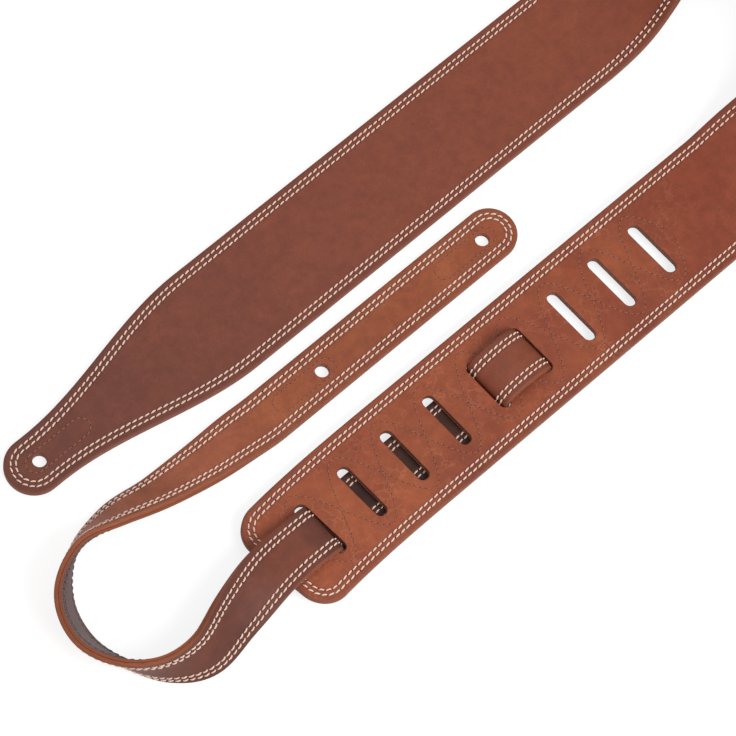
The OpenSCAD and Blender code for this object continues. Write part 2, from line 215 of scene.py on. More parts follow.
@dataclass(eq=False)
class Lay:
    """Where a flat strip lies, in samples along its middle line.

    Each sample has its distance along the strip, the place of the strip's middle, the direction
    across the strip, and the direction out of its front.
    """

    along: np.ndarray
    middle: np.ndarray
    across: np.ndarray
    out: np.ndarray

    @property
    def length(self) -> float:
        """Distance along the strip from the first sample to the last."""
        return float(self.along[-1] - self.along[0])

    def _interpolated(self, where: np.ndarray, values: np.ndarray) -> np.ndarray:
        """Three-part values at places along the strip."""
        return np.stack([np.interp(where, self.along, values[:, k]) for k in range(3)], axis=1)

    def face(self, along: np.ndarray) -> np.ndarray:
        """Directions out of the front.

        Args:
            along: Distances along the strip.

        Returns:
            One unit direction for each.
        """
        return unit(self._interpolated(along, self.out))

    def place(self, flat: np.ndarray) -> np.ndarray:
        """Carries flat places to where they lie.

        Args:
            flat: Rows of along, across and up.

        Returns:
            Rows of x, y and z.
        """
        middle = self._interpolated(flat[:, 0], self.middle)
        across = unit(self._interpolated(flat[:, 0], self.across))
        return middle + flat[:, 1:2] * across + flat[:, 2:3] * self.face(flat[:, 0])

    @staticmethod
    def joined(parts: Sequence["Lay"]) -> "Lay":
        """One lay that runs through several, end to end.

        Args:
            parts: Lays whose ends meet, in order.

        Returns:
            The whole lay, with its distances counted from 0.
        """
        along, start = [], 0.0
        for part in parts:
            along.append(part.along - part.along[0] + start)
            start = float(along[-1][-1])
        return Lay(
            np.concatenate(along),
            np.concatenate([p.middle for p in parts]),
            np.concatenate([p.across for p in parts]),
            np.concatenate([p.out for p in parts]),
        )


@dataclass(frozen=True)
class Route:
    """How a whole strap lies, and where along it its turned part starts and ends."""

    lay: Lay
    turn_start: float
    turn_end: float

    @classmethod
    def through(cls, before: Lay, turn: Lay, after: Lay) -> "Route":
        """The route through three lays, end to end."""
        start = before.length
        return cls(Lay.joined([before, turn, after]), start, start + turn.length)


SAMPLE = 0.5
SMOOTH_SPAN = 9
CURVE_STEPS = 60


def flat_run(start: tuple[float, float, float], way: int, length: float) -> Lay:
    """A run that lies flat along X.

    Args:
        start: Place of its middle where it starts.
        way: 1 where it runs towards +X, and -1 towards -X.
        length: How long it is.

    Returns:
        The lay.
    """
    along = np.linspace(0, length, max(2, int(length / SAMPLE)))
    middle = np.array(start) + along[:, None] * np.array([way, 0.0, 0.0])
    across = np.tile([0.0, float(way), 0.0], (len(along), 1))
    out = np.tile([0.0, 0.0, 1.0], (len(along), 1))
    return Lay(along, middle, across, out)


def swayed(lay: Lay, reach: float, sway: float) -> Lay:
    """A lay whose start swings sideways, as leather that was never quite flat does.

    Args:
        lay: A level lay that starts at its free end.
        reach: How far from that end the swing starts.
        sway: How far the end itself moves across.

    Returns:
        The swung lay.
    """
    share = np.clip(1 - lay.along / reach, 0, 1)
    middle = lay.middle + (sway * share**3)[:, None] * lay.across
    slope = (-3 * sway * share**2 / reach)[:, None]
    heading = np.cross(lay.across, lay.out)
    return Lay(lay.along, middle, unit(lay.across - slope * heading), lay.out)


def catmull_rom(points: np.ndarray, steps: int) -> np.ndarray:
    """A smooth curve through points, whose first and last only steer its ends.

    Args:
        points: One point a row.
        steps: Samples between two neighbouring points.

    Returns:
        The curve's samples.
    """
    samples = []
    for a, b, c, d in zip(points, points[1:], points[2:], points[3:]):
        s = np.arange(steps)[:, None] / steps
        samples.append(
            (
                2 * b
                + (c - a) * s
                + (2 * a - 5 * b + 4 * c - d) * s**2
                + (3 * b - a - 3 * c + d) * s**3
            )
            / 2
        )
    samples.append(points[-2:-1])
    return np.concatenate(samples)


def smoothed(values: np.ndarray, span: int) -> np.ndarray:
    """Running mean of samples, with the ends carried on in their own direction.

    Args:
        values: One sample a row.
        span: How many samples on each side are taken in.

    Returns:
        As many samples.
    """
    before = values[0] - np.arange(span, 0, -1)[:, None] * (values[1] - values[0])
    after = values[-1] + np.arange(1, span + 1)[:, None] * (values[-1] - values[-2])
    padded = np.concatenate([before, values, after])
    window = np.hanning(2 * span + 3)[1:-1]
    window /= window.sum()
    return np.stack([np.convolve(column, window, mode="valid") for column in padded.T], axis=1)


def resampled(points: np.ndarray, step: float, columns: int) -> np.ndarray:
    """Samples a line at even distances, with both ends kept.

    Args:
        points: The line's points, one a row.
        step: Distance between samples.
        columns: How many of the first columns measure distance.

    Returns:
        The even samples.
    """
    along = distances(points[:, :columns])
    count = max(2, int(round(along[-1] / step)) + 1)
    where = np.linspace(0, along[-1], count)
    return np.stack([np.interp(where, along, column) for column in points.T], axis=1)


def banked_turn(stations: np.ndarray, width: float, thickness: float) -> Lay:
    """A turn that leans over from flat on to its edge and back.

    Args:
        stations: Rows of x, y, height of the lowest edge, and bank in degrees.
        width: The strip's width.
        thickness: The strip's thickness.

    Returns:
        The lay.
    """
    dense = smoothed(resampled(catmull_rom(stations, CURVE_STEPS), SAMPLE, 2), SMOOTH_SPAN)
    bank = np.radians(np.clip(dense[:, 3], 0, None))
    heading = unit(np.gradient(dense[:, :2], axis=0))
    lean, level = np.sin(bank), np.cos(bank)
    height = dense[:, 2] + width / 2 * lean + thickness / 2 * np.abs(level)
    middle = np.column_stack([dense[:, 0], dense[:, 1], height])
    across = np.column_stack([-heading[:, 1] * level, heading[:, 0] * level, lean])
    out = np.column_stack([heading[:, 1] * lean, -heading[:, 0] * lean, level])
    return Lay(distances(middle), middle, across, out)


def woven_run(
    profile: np.ndarray, y: float, drifts: Sequence[tuple[float, float, float]]
) -> Lay:
    """A run that dives and climbs through slots.

    Args:
        profile: Rows of x and z along the side view of its middle.
        y: Where its middle lies across the strap where it starts.
        drifts: How far it wanders across, with where along X it starts to and stops.

    Returns:
        The lay.
    """
    fine = resampled(profile, SAMPLE / 2, 2)
    slope = unit(np.gradient(fine, axis=0))
    count = len(fine)
    wandered = np.full(count, y)
    for drift, start, end in drifts:
        share = np.clip((fine[:, 0] - start) / (end - start), 0, 1)
        wandered += eased(drift, share)
    return Lay(
        distances(fine),
        np.column_stack([fine[:, 0], wandered, fine[:, 1]]),
        np.tile([0.0, 1.0, 0.0], (count, 1)),
        np.column_stack([-slope[:, 1], np.zeros(count), slope[:, 0]]),
    )


def arc(
    middle: tuple[float, float],
    radii: tuple[float, float],
    start_deg: float,
    end_deg: float,
    steps: int = 24,
) -> np.ndarray:
    """Points along an arc of a circle or an ellipse.

    Args:
        middle: Its middle.
        radii: Its half widths along the first and the second axis.
        start_deg: Angle where it starts.
        end_deg: Angle where it ends.
        steps: Stretches that it has.

    Returns:
        Its points, one a row.
    """
    angle = np.radians(np.linspace(start_deg, end_deg, steps + 1))
    return np.column_stack(
        [middle[0] + radii[0] * np.cos(angle), middle[1] + radii[1] * np.sin(angle)]
    )


# ---- cuts ----------------------------------------------------------------------------------


class Face(Enum):
    """Which layer of a strap a piece of leather is."""

    FRONT = 1
    BACKING = -1


@dataclass(frozen=True)
class Hole:
    """A round hole in a cut, or a slot across it with round ends and straight sides."""

    along: float
    radius: float
    straight: float = 0.0
    steps: int = 10

    SPACING = 1.8
    BUTTON_STEPS = 16

    @classmethod
    def button(cls, along: float, radius: float) -> "Hole":
        """A round button hole."""
        return cls(along, radius, steps=cls.BUTTON_STEPS)

    def ring(self, out_by: float) -> np.ndarray:
        """Points round the hole.

        Args:
            out_by: How far outside its rim they lie.

        Returns:
            Rows of along and across.
        """
        radius = self.radius + out_by
        upper = arc((0, self.straight / 2), (radius, radius), 0, 180, self.steps)
        lower = arc((0, -self.straight / 2), (radius, radius), 180, 360, self.steps)
        if self.straight == 0:
            points = np.concatenate([upper, lower[1:-1]])
        else:
            count = max(2, int(self.straight / self.SPACING))
            share = np.linspace(0, 1, count + 1)[1:-1, None]
            down = upper[-1] + share * (lower[0] - upper[-1])
            back = lower[-1] + share * (upper[0] - lower[-1])
            points = np.concatenate([upper, down, lower, back])
        return points + np.array([self.along, 0.0])


@dataclass(frozen=True)
class Rim:
    """How a layer is finished along its edge: a rounded corner, and a groove for each row.

    The edge nips in where it meets the other layer, and is burnished part of the way round its
    corner. The border is how dark the leather is between the edge and the sewing; each stitch
    groove is darkened further, as painted shade.
    """

    low: float
    high: float
    face: Face
    rows: tuple[float, ...]
    round_across: float = 1.1
    round_up: float = 0.75
    groove_depth: float = 0.3
    groove_half: float = 0.85
    border: float = 0.3
    inner: float = 8.0
    nip_in: float = 0.04
    nip_up: float = 0.18
    glued_wear: float = 0.25
    wall_share: float = 0.4
    corner_most: float = 0.55
    worn_deg: float = 75.0
    hole_round: float = 0.5
    hole_nip_in: float = 0.05
    hole_nip_up: float = 0.1
    hole_worn_deg: float = 70.0
    hole_inner: float = 1.3

    CORNER_STEPS = 6
    HOLE_CORNER_STEPS = 5
    GROOVE_SHARES = (-1.0, -0.6, -0.25, 0.25, 0.6, 1.0)

    def levels(self) -> tuple[float, float, float]:
        """Heights of the shown face and the glued one, and 1 or -1 for the way out of the shown."""
        if self.face is Face.FRONT:
            return self.high, self.low, 1.0
        return self.low, self.high, -1.0

    def steps(self) -> np.ndarray:
        """Rows of inset, height, burnish and groove, from the glued face round to the shown one."""
        shown, hidden, way = self.levels()
        thickness = self.high - self.low
        corner = min(self.round_up, self.corner_most * thickness)
        rows = [
            (self.inner, hidden, 0.0, 0.0),
            (self.glued_wear, hidden, 1.0, 0.0),
            (self.nip_in, hidden + self.nip_up * way, 1.0, 0.0),
            (0.0, hidden + self.wall_share * (thickness - corner) * way, 1.0, 0.0),
        ]
        for angle in np.radians(np.linspace(0, 90, self.CORNER_STEPS)):
            inset = self.round_across * (1 - math.cos(angle))
            up = shown - way * corner * (1 - math.sin(angle))
            worn = max(0.0, 1.0 - math.degrees(angle) / self.worn_deg)
            rows.append((inset, up, worn, self.border * math.sin(angle)))
        # The groove mark peaks at each groove's bottom: painted shade in the recess, over the
        # border's darker margin.
        for middle in self.rows:
            for share in self.GROOVE_SHARES:
                depth = self.groove_depth * 0.5 * (1 + math.cos(math.pi * share))
                inset = middle + share * self.groove_half
                rows.append((inset, shown - way * depth, 0.0, max(self.border, 1 - abs(share))))
        rows.append((self.inner, shown, 0.0, 0.0))
        return np.array(rows)

    def hole_steps(self) -> np.ndarray:
        """Rows of inset, height and burnish round a hole, from the glued face to the shown one."""
        shown, hidden, way = self.levels()
        rows = [
            (self.hole_inner, hidden, 0.0),
            (self.hole_nip_in, hidden, 1.0),
            (0.0, hidden + self.hole_nip_up * way, 1.0),
        ]
        for angle in np.radians(np.linspace(0, 90, self.HOLE_CORNER_STEPS)):
            inset = self.hole_round * (1 - math.cos(angle))
            up = shown - way * self.hole_round * (1 - math.sin(angle))
            rows.append((inset, up, max(0.0, 1.0 - math.degrees(angle) / self.hole_worn_deg)))
        rows.append((self.hole_inner, shown, 0.0))
        return np.array(rows)


@dataclass
class Cut:
    """A strip's flat pattern: straight sides, and a nose where it has one.

    The nose lies at the low end. Its outline runs from the far side of the strip's middle line
    (across is positive) round to the near side.
    """

    half: float
    stations: np.ndarray
    nose: np.ndarray | None = None
    holes: tuple[Hole, ...] = ()
    holes_from: float = -math.inf
    holes_to: float = -math.inf
    nose_step: float = 1.4

    def sides(self) -> list[tuple[np.ndarray, np.ndarray]]:
        """The worked edges, as points and the directions inwards from them."""
        far = np.column_stack([self.stations, np.full(len(self.stations), self.half)])
        near = np.column_stack([self.stations, np.full(len(self.stations), -self.half)])
        if self.nose is None:
            return [
                (far, np.tile([0.0, -1.0], (len(far), 1))),
                (near, np.tile([0.0, 1.0], (len(near), 1))),
            ]
        nose = resampled(self.nose, self.nose_step, 2)[1:-1]
        path = np.concatenate([far[::-1], nose, near])
        slope = np.gradient(path, axis=0)
        slope[: len(far) - 1] = [-1.0, 0.0]
        slope[len(path) - len(near) + 1 :] = [1.0, 0.0]
        slope = unit(slope)
        return [(path, np.column_stack([-slope[:, 1], slope[:, 0]]))]

    def rows(self, inset: float, trim: float) -> list[np.ndarray]:
        """Lines of sewing at an inset from the edge.

        Args:
            inset: Distance from the edge.
            trim: How far each line stops before the ends of the piece.

        Returns:
            One array of flat places for each line.
        """
        lines = []
        for points, inwards in self.sides():
            line = points + inwards * inset
            along = distances(line)
            kept = np.linspace(trim, along[-1] - trim, int(along[-1]))
            lines.append(np.column_stack([np.interp(kept, along, column) for column in line.T]))
        return lines


def inside(points: np.ndarray, loop: np.ndarray) -> np.ndarray:
    """Which points lie inside a closed loop.

    Args:
        points: Rows of two numbers.
        loop: The loop's corners.

    Returns:
        One truth value for each point.
    """
    found = np.zeros(len(points), bool)
    for (x0, y0), (x1, y1) in zip(loop, np.roll(loop, -1, axis=0)):
        if y0 == y1:
            continue
        crosses = (points[:, 1] < y0) != (points[:, 1] < y1)
        found ^= crosses & (points[:, 0] < x0 + (points[:, 1] - y0) * (x1 - x0) / (y1 - y0))
    return found


@dataclass(frozen=True)
class Ring:
    """A line of places on both faces: where it lies flat, and its numbers on each face."""

    flat: np.ndarray
    hidden: np.ndarray
    shown: np.ndarray

    def part(self, chosen: slice | np.ndarray) -> "Ring":
        """The chosen places of the line."""
        return Ring(self.flat[chosen], self.hidden[chosen], self.shown[chosen])

    @staticmethod
    def joined(rings: Sequence["Ring"]) -> "Ring":
        """Several lines as one.

        Args:
            rings: The lines, in order.

        Returns:
            The one line.
        """
        return Ring(
            np.concatenate([ring.flat for ring in rings]),
            np.concatenate([ring.hidden for ring in rings]),
            np.concatenate([ring.shown for ring in rings]),
        )


class Sheet:
    """One layer of leather, built flat from its cut and its rim, with closed faces."""

    GRID = 3.0
    ROW_SHARE = 0.87
    CLEAR_SHARE = 0.55
    TOUCH = 1e-6

    def __init__(self, cut: Cut, rim: Rim) -> None:
        """Builds the layer.

        Args:
            cut: The flat pattern.
            rim: How its edge is finished.
        """
        self.cut = cut
        self.rim = rim
        self.places: list[np.ndarray] = []
        self.marks: list[np.ndarray] = []
        self.faces: list[tuple[int, ...]] = []
        self.count = 0
        self._build()

    def _add(self, flat: np.ndarray, up: float, burnish: float, groove: float) -> np.ndarray:
        """Adds places at one height.

        Args:
            flat: Rows of along and across.
            up: Their height.
            burnish: How burnished the leather is there.
            groove: How dark it is painted: the darker margin, and painted shade in a stitch groove.

        Returns:
            The numbers of the places.
        """
        self.places.append(np.column_stack([flat, np.full(len(flat), up)]))
        self.marks.append(np.tile([burnish, groove], (len(flat), 1)))
        self.count += len(flat)
        return np.arange(self.count - len(flat), self.count)

    def _both(self, flat: np.ndarray) -> Ring:
        """Adds plain places on both faces.

        Args:
            flat: Rows of along and across on the cut.

        Returns:
            Their ring.
        """
        shown_up, hidden_up, _ = self.rim.levels()
        hidden = self._add(flat, hidden_up, 0.0, 0.0)
        return Ring(flat, hidden, self._add(flat, shown_up, 0.0, 0.0))

    def _bands(self, rings: list[np.ndarray], closed: bool) -> None:
        """Joins neighbouring rings with four-cornered faces.

        Args:
            rings: Numbers of each ring's places.
            closed: Whether the rings run all the way round.
        """
        for low, high in zip(rings, rings[1:]):
            last = len(low) if closed else len(low) - 1
            for i in range(last):
                j = (i + 1) % len(low)
                self.faces.append((int(low[i]), int(low[j]), int(high[j]), int(high[i])))

    def _build(self) -> None:
        """Builds rims, holes and the fields between them, on both faces."""
        edges, holes = [], []
        for points, inwards in self.cut.sides():
            rings = [
                self._add(points + inwards * inset, up, burnish, groove)
                for inset, up, burnish, groove in self.rim.steps()
            ]
            self._bands(rings, closed=False)
            edges.append(Ring(points + inwards * self.rim.inner, rings[0], rings[-1]))
        for hole in self.cut.holes:
            rings = [
                self._add(hole.ring(inset), up, burnish, 0.0)
                for inset, up, burnish in self.rim.hole_steps()
            ]
            self._bands(rings, closed=True)
            holes.append(Ring(hole.ring(self.rim.hole_inner), rings[0], rings[-1]))
        self._fill(edges, holes)

    def _sides(self, edges: list[Ring]) -> tuple[Ring, Ring]:
        """The far and the near side's inner rings, with one place for each station.

        Args:
            edges: The inner ring of each worked edge.

        Returns:
            The far side's ring and the near side's.
        """
        if len(edges) == 2:
            return edges[0], edges[1]
        count = len(self.cut.stations)
        return edges[0].part(np.arange(count)[::-1]), edges[0].part(slice(-count, None))

    def _fill(self, edges: list[Ring], holes: list[Ring]) -> None:
        """Fills the field inside the rims: plain stretches in rows, and the rest in triangles.

        Args:
            edges: The inner ring of each worked edge.
            holes: The ring round each hole.
        """
        cut, stations = self.cut, self.cut.stations
        far, near = self._sides(edges)
        reach = cut.half - self.rim.inner
        cross = np.linspace(reach, -reach, max(3, int(2 * reach / self.GRID) + 1))[1:-1]
        rows = {}
        for i in np.flatnonzero((stations <= cut.holes_from) | (stations >= cut.holes_to)):
            flat = np.column_stack([np.full(len(cross), stations[i]), cross])
            here = slice(i, i + 1)
            rows[i] = Ring.joined([far.part(here), self._both(flat), near.part(here)])
        for i in rows:
            if i + 1 not in rows or stations[i] <= cut.holes_from < stations[i + 1]:
                continue
            self._bands([rows[i].hidden, rows[i + 1].hidden], closed=False)
            self._bands([rows[i].shown, rows[i + 1].shown], closed=False)
        if cut.holes_to > -math.inf:
            self._triangles([self._outline(edges, rows), *holes])

    def _outline(self, edges: list[Ring], rows: dict[int, Ring]) -> Ring:
        """The outline of the stretch that has holes, or of the nose.

        Args:
            edges: The inner ring of each worked edge.
            rows: The row of places across each plain station.

        Returns:
            The outline, as one ring.
        """
        stations = self.cut.stations
        last = next(i for i in rows if stations[i] >= self.cut.holes_to)
        closing = rows[last].part(slice(-2, 0, -1))
        if len(edges) == 1:
            kept = edges[0].flat[:, 0] <= stations[last] + self.TOUCH
            return Ring.joined([edges[0].part(kept), closing])
        first = [i for i in rows if stations[i] <= self.cut.holes_from][-1]
        opening = rows[first].part(slice(1, -1))
        span = np.arange(first, last + 1)
        return Ring.joined([edges[0].part(span[::-1]), opening, edges[1].part(span), closing])

    def _triangles(self, loops: list[Ring]) -> None:
        """Fills between an outline and the rings inside it, on both faces.

        Args:
            loops: The outline, and then the rings.
        """
        corners = [loop.flat for loop in loops]
        border = np.concatenate(corners)
        grid = self._grid(border)
        grid = grid[self._between(grid, corners)]
        near = np.array([np.min(np.hypot(*(border - place).T)) for place in grid])
        grid = grid[near > self.CLEAR_SHARE * self.GRID]
        field = Ring.joined([*loops, self._both(grid)])
        edges, start = [], 0
        for count in map(len, corners):
            edges += [(start + k, start + (k + 1) % count) for k in range(count)]
            start += count
        made = delaunay_2d_cdt([Vector(p) for p in field.flat], edges, [], 0, self.TOUCH)
        source = [origin[0] for origin in made[3]]
        triangles = np.array([[source[v] for v in face] for face in made[2]])
        kept = triangles[self._between(field.flat[triangles].mean(axis=1), corners)]
        for shown, hidden in zip(field.shown[kept].tolist(), field.hidden[kept].tolist()):
            self.faces += [tuple(shown), tuple(reversed(hidden))]

    def _grid(self, border: np.ndarray) -> np.ndarray:
        """Even places that cover a border's box, with every other row shifted by half a step.

        Args:
            border: The border's places.

        Returns:
            Rows of along and across.
        """
        low, high, step = border.min(axis=0), border.max(axis=0), self.GRID
        return np.array(
            [
                (x + (0.5 * step if k % 2 else 0.0), y)
                for k, y in enumerate(np.arange(low[1] + step / 2, high[1], step * self.ROW_SHARE))
                for x in np.arange(low[0] + step / 2, high[0], step)
            ]
        )

    @staticmethod
    def _between(points: np.ndarray, corners: list[np.ndarray]) -> np.ndarray:
        """Which points lie inside an outline and outside the rings in it.

        Args:
            points: Rows of along and across.
            corners: The outline's corners, and then each ring's.

        Returns:
            One truth value for each point.
        """
        found = inside(points, corners[0])
        for ring in corners[1:]:
            found &= ~inside(points, ring)
        return found


@dataclass(frozen=True)
class PatchShape:
    """A round-ended patch round a button hole, with its place along the cut."""

    hole: float
    lead: float = 9.0
    length: float = 42.0
    width: float = 13.0
    seam_inset: float = 1.5

    STEPS = 20
    SPACING = 1.0

    def outline(self) -> np.ndarray:
        """Points round the patch, from its far side round its front end."""
        radius = self.width / 2
        front_end = self.hole - self.lead
        back_end = front_end + self.length
        front = arc((front_end + radius, 0), (radius, radius), 90, 270, self.STEPS)
        back = arc((back_end - radius, 0), (radius, radius), -90, 90, self.STEPS)
        loop = np.concatenate([front, back, front[:1]])
        return resampled(loop, self.SPACING, 2)[:-1]

    def seam(self) -> np.ndarray:
        """Points along the sewing that holds the patch, inside its edge."""
        inset = self.seam_inset
        inner = replace(
            self,
            lead=self.lead - inset,
            length=self.length - 2 * inset,
            width=self.width - 2 * inset,
        )
        return inner.outline()


class Patch(Sheet):
    """The thin patch cemented between the two layers round a button hole."""

    BORE_CLEAR = 0.03
    THICKNESS = 0.6

    def __init__(self, shape: PatchShape, hole: Hole, low: float) -> None:
        """Builds the patch.

        Args:
            shape: The patch's outline.
            hole: The button hole that passes through it.
            low: Height of its lower face.
        """
        self.shape = shape
        self.hole = hole
        super().__init__(
            Cut(shape.width / 2, np.array([])), Rim(low, low + self.THICKNESS, Face.FRONT, ())
        )

    def _build(self) -> None:
        """Builds both faces, the outer edge and the bore."""
        loops = [self._both(self.shape.outline()), self._both(self.hole.ring(self.BORE_CLEAR))]
        for loop in loops:
            self._bands([loop.hidden, loop.shown], closed=True)
        self._triangles(loops)


# ---- finishes ------------------------------------------------------------------------------


def srgb(red: int, green: int, blue: int) -> Colour:
    """A colour written as on a screen, turned into Blender's linear values.

    Args:
        red: Red, from 0 to 255.
        green: Green, from 0 to 255.
        blue: Blue, from 0 to 255.

    Returns:
        The linear colour, opaque.
    """

    def linear(value: int) -> float:
        """One channel of the colour."""
        share = value / 255
        return share / 12.92 if share <= 0.04045 else ((share + 0.055) / 1.055) ** 2.4

    return linear(red), linear(green), linear(blue), 1.0


def put(tree: bpy.types.NodeTree, socket: bpy.types.NodeSocket, value: object) -> None:
    """Joins a socket to another, or sets it to a value.

    Args:
        tree: The node tree.
        socket: The socket.
        value: Another socket, or a value.
    """
    if isinstance(value, bpy.types.NodeSocket):
        tree.links.new(value, socket)
    else:
        socket.default_value = value


def place_node(
    tree: bpy.types.NodeTree,
    kind: str,
    inputs: dict[str | int, object] | None = None,
    **settings: object,
) -> bpy.types.Node:
    """Places a node, sets its properties, and joins or sets its inputs.

    Args:
        tree: The node tree.
        kind: The node's type.
        inputs: Another socket or a value for each of its inputs, by name or number.
        settings: Properties to set on it.

    Returns:
        The node.
    """
    made = tree.nodes.new(kind)
    for key, value in settings.items():
        setattr(made, key, value)
    for key, value in (inputs or {}).items():
        put(tree, made.inputs[key], value)
    return made


@dataclass(frozen=True)
class Noise:
    """A cloudy pattern: how fine it is, and the two places that its tones run between.

    A stop is a place in the noise, from 0 to 1, with the tone that it is given.
    """

    scale: float
    detail: float = 3.0
    rough: float = 0.6
    warp: float = 0.0
    low: tuple[float, float] = (0.0, 0.0)
    high: tuple[float, float] = (1.0, 1.0)


@dataclass(frozen=True)
class Relief:
    """How strongly a pattern stands out of a surface, and how high, in millimetres."""

    strength: float
    height: float


class NodeBench:
    """A short way to place and join a material's nodes."""

    MIX_FIRST = 6
    MIX_SECOND = 7
    MIX_RESULT = 2

    def __init__(self, name: str, specular: float) -> None:
        """Starts a material with a plain shader.

        Args:
            name: The material's name.
            specular: How strongly its surface mirrors light.
        """
        self.material = bpy.data.materials.new(name)
        self.material.use_nodes = True
        self.tree = self.material.node_tree
        self.tree.nodes.clear()
        shader = self.node("ShaderNodeBsdfPrincipled", {"Specular IOR Level": specular})
        self.surface = shader.inputs
        self.node("ShaderNodeOutputMaterial", {"Surface": shader.outputs["BSDF"]})

    def node(
        self, kind: str, inputs: dict[str | int, object] | None = None, **settings: object
    ) -> bpy.types.Node:
        """Places a node, as place_node does."""
        return place_node(self.tree, kind, inputs, **settings)

    def finish(self, name: str, value: object) -> None:
        """Sets or joins one of the shader's inputs."""
        put(self.tree, self.surface[name], value)

    def flat(self) -> bpy.types.NodeSocket:
        """Flat places on the leather: along, across and up, in metres."""
        return self.node("ShaderNodeAttribute", attribute_name="flat").outputs["Vector"]

    def mark(self, name: str) -> bpy.types.NodeSocket:
        """A mark that the mesh carries, from 0 to 1."""
        return self.node("ShaderNodeAttribute", attribute_name=name).outputs["Fac"]

    def stretched(self, vector: object, scale: tuple[float, float, float]) -> bpy.types.NodeSocket:
        """Places scaled along each axis."""
        return self.node("ShaderNodeMapping", {"Vector": vector, "Scale": scale}).outputs["Vector"]

    def noise(self, vector: object, noise: Noise) -> bpy.types.NodeSocket:
        """Cloudy noise, from 0 to 1.

        Args:
            vector: Where on the surface it is.
            noise: How fine it is.

        Returns:
            The noise.
        """
        inputs = {
            "Vector": vector,
            "Scale": noise.scale,
            "Detail": noise.detail,
            "Roughness": noise.rough,
            "Distortion": noise.warp,
        }
        return self.node("ShaderNodeTexNoise", inputs).outputs["Fac"]

    def toned(self, vector: object, noise: Noise) -> bpy.types.NodeSocket:
        """Cloudy noise with its tones led through its two stops."""
        return self.ramp(self.noise(vector, noise), noise.low, noise.high)

    def cells(self, vector: object, scale: float, feature: str = "F1") -> bpy.types.NodeSocket:
        """Distance to the nearest point, or edge, of a cell pattern.

        Args:
            vector: Where on the surface it is.
            scale: How fine it is.
            feature: What the distance is measured to.

        Returns:
            The distance.
        """
        inputs = {"Vector": vector, "Scale": scale}
        return self.node("ShaderNodeTexVoronoi", inputs, feature=feature).outputs["Distance"]

    def ramp(self, value: object, *stops: tuple[float, object]) -> bpy.types.NodeSocket:
        """A value led through stops.

        Args:
            value: The value, from 0 to 1.
            stops: A place from 0 to 1 with a grey or a colour, for each stop.

        Returns:
            The tone.
        """
        made = self.node("ShaderNodeValToRGB", {"Fac": value})
        elements = made.color_ramp.elements
        while len(elements) < len(stops):
            elements.new(0.5)
        for element, (place, tone) in zip(elements, stops):
            element.position = place
            element.color = tone if isinstance(tone, tuple) else (tone, tone, tone, 1.0)
        return made.outputs["Color"]

    def times(self, first: object, second: object) -> bpy.types.NodeSocket:
        """Two numbers multiplied."""
        made = self.node("ShaderNodeMath", {0: first, 1: second}, operation="MULTIPLY")
        return made.outputs["Value"]

    def mixed(
        self, share: object, first: object, second: object, blend: str = "MIX"
    ) -> bpy.types.NodeSocket:
        """Two colours mixed by a share.

        Args:
            share: How much of the second is taken.
            first: The first colour.
            second: The second colour.
            blend: How they are put together.

        Returns:
            The colour.
        """
        inputs = {"Factor": share, self.MIX_FIRST: first, self.MIX_SECOND: second}
        made = self.node("ShaderNodeMix", inputs, data_type="RGBA", blend_type=blend)
        return made.outputs[self.MIX_RESULT]

    def bump(
        self, height: object, relief: Relief, under: object | None = None
    ) -> bpy.types.NodeSocket:
        """A normal from a height pattern.

        Args:
            height: The pattern.
            relief: How far it stands out.
            under: The normal that it is laid on, if any.

        Returns:
            The normal.
        """
        inputs = {"Strength": relief.strength, "Distance": relief.height * MM, "Height": height}
        if under is not None:
            inputs["Normal"] = under
        return self.node("ShaderNodeBump", inputs).outputs["Normal"]


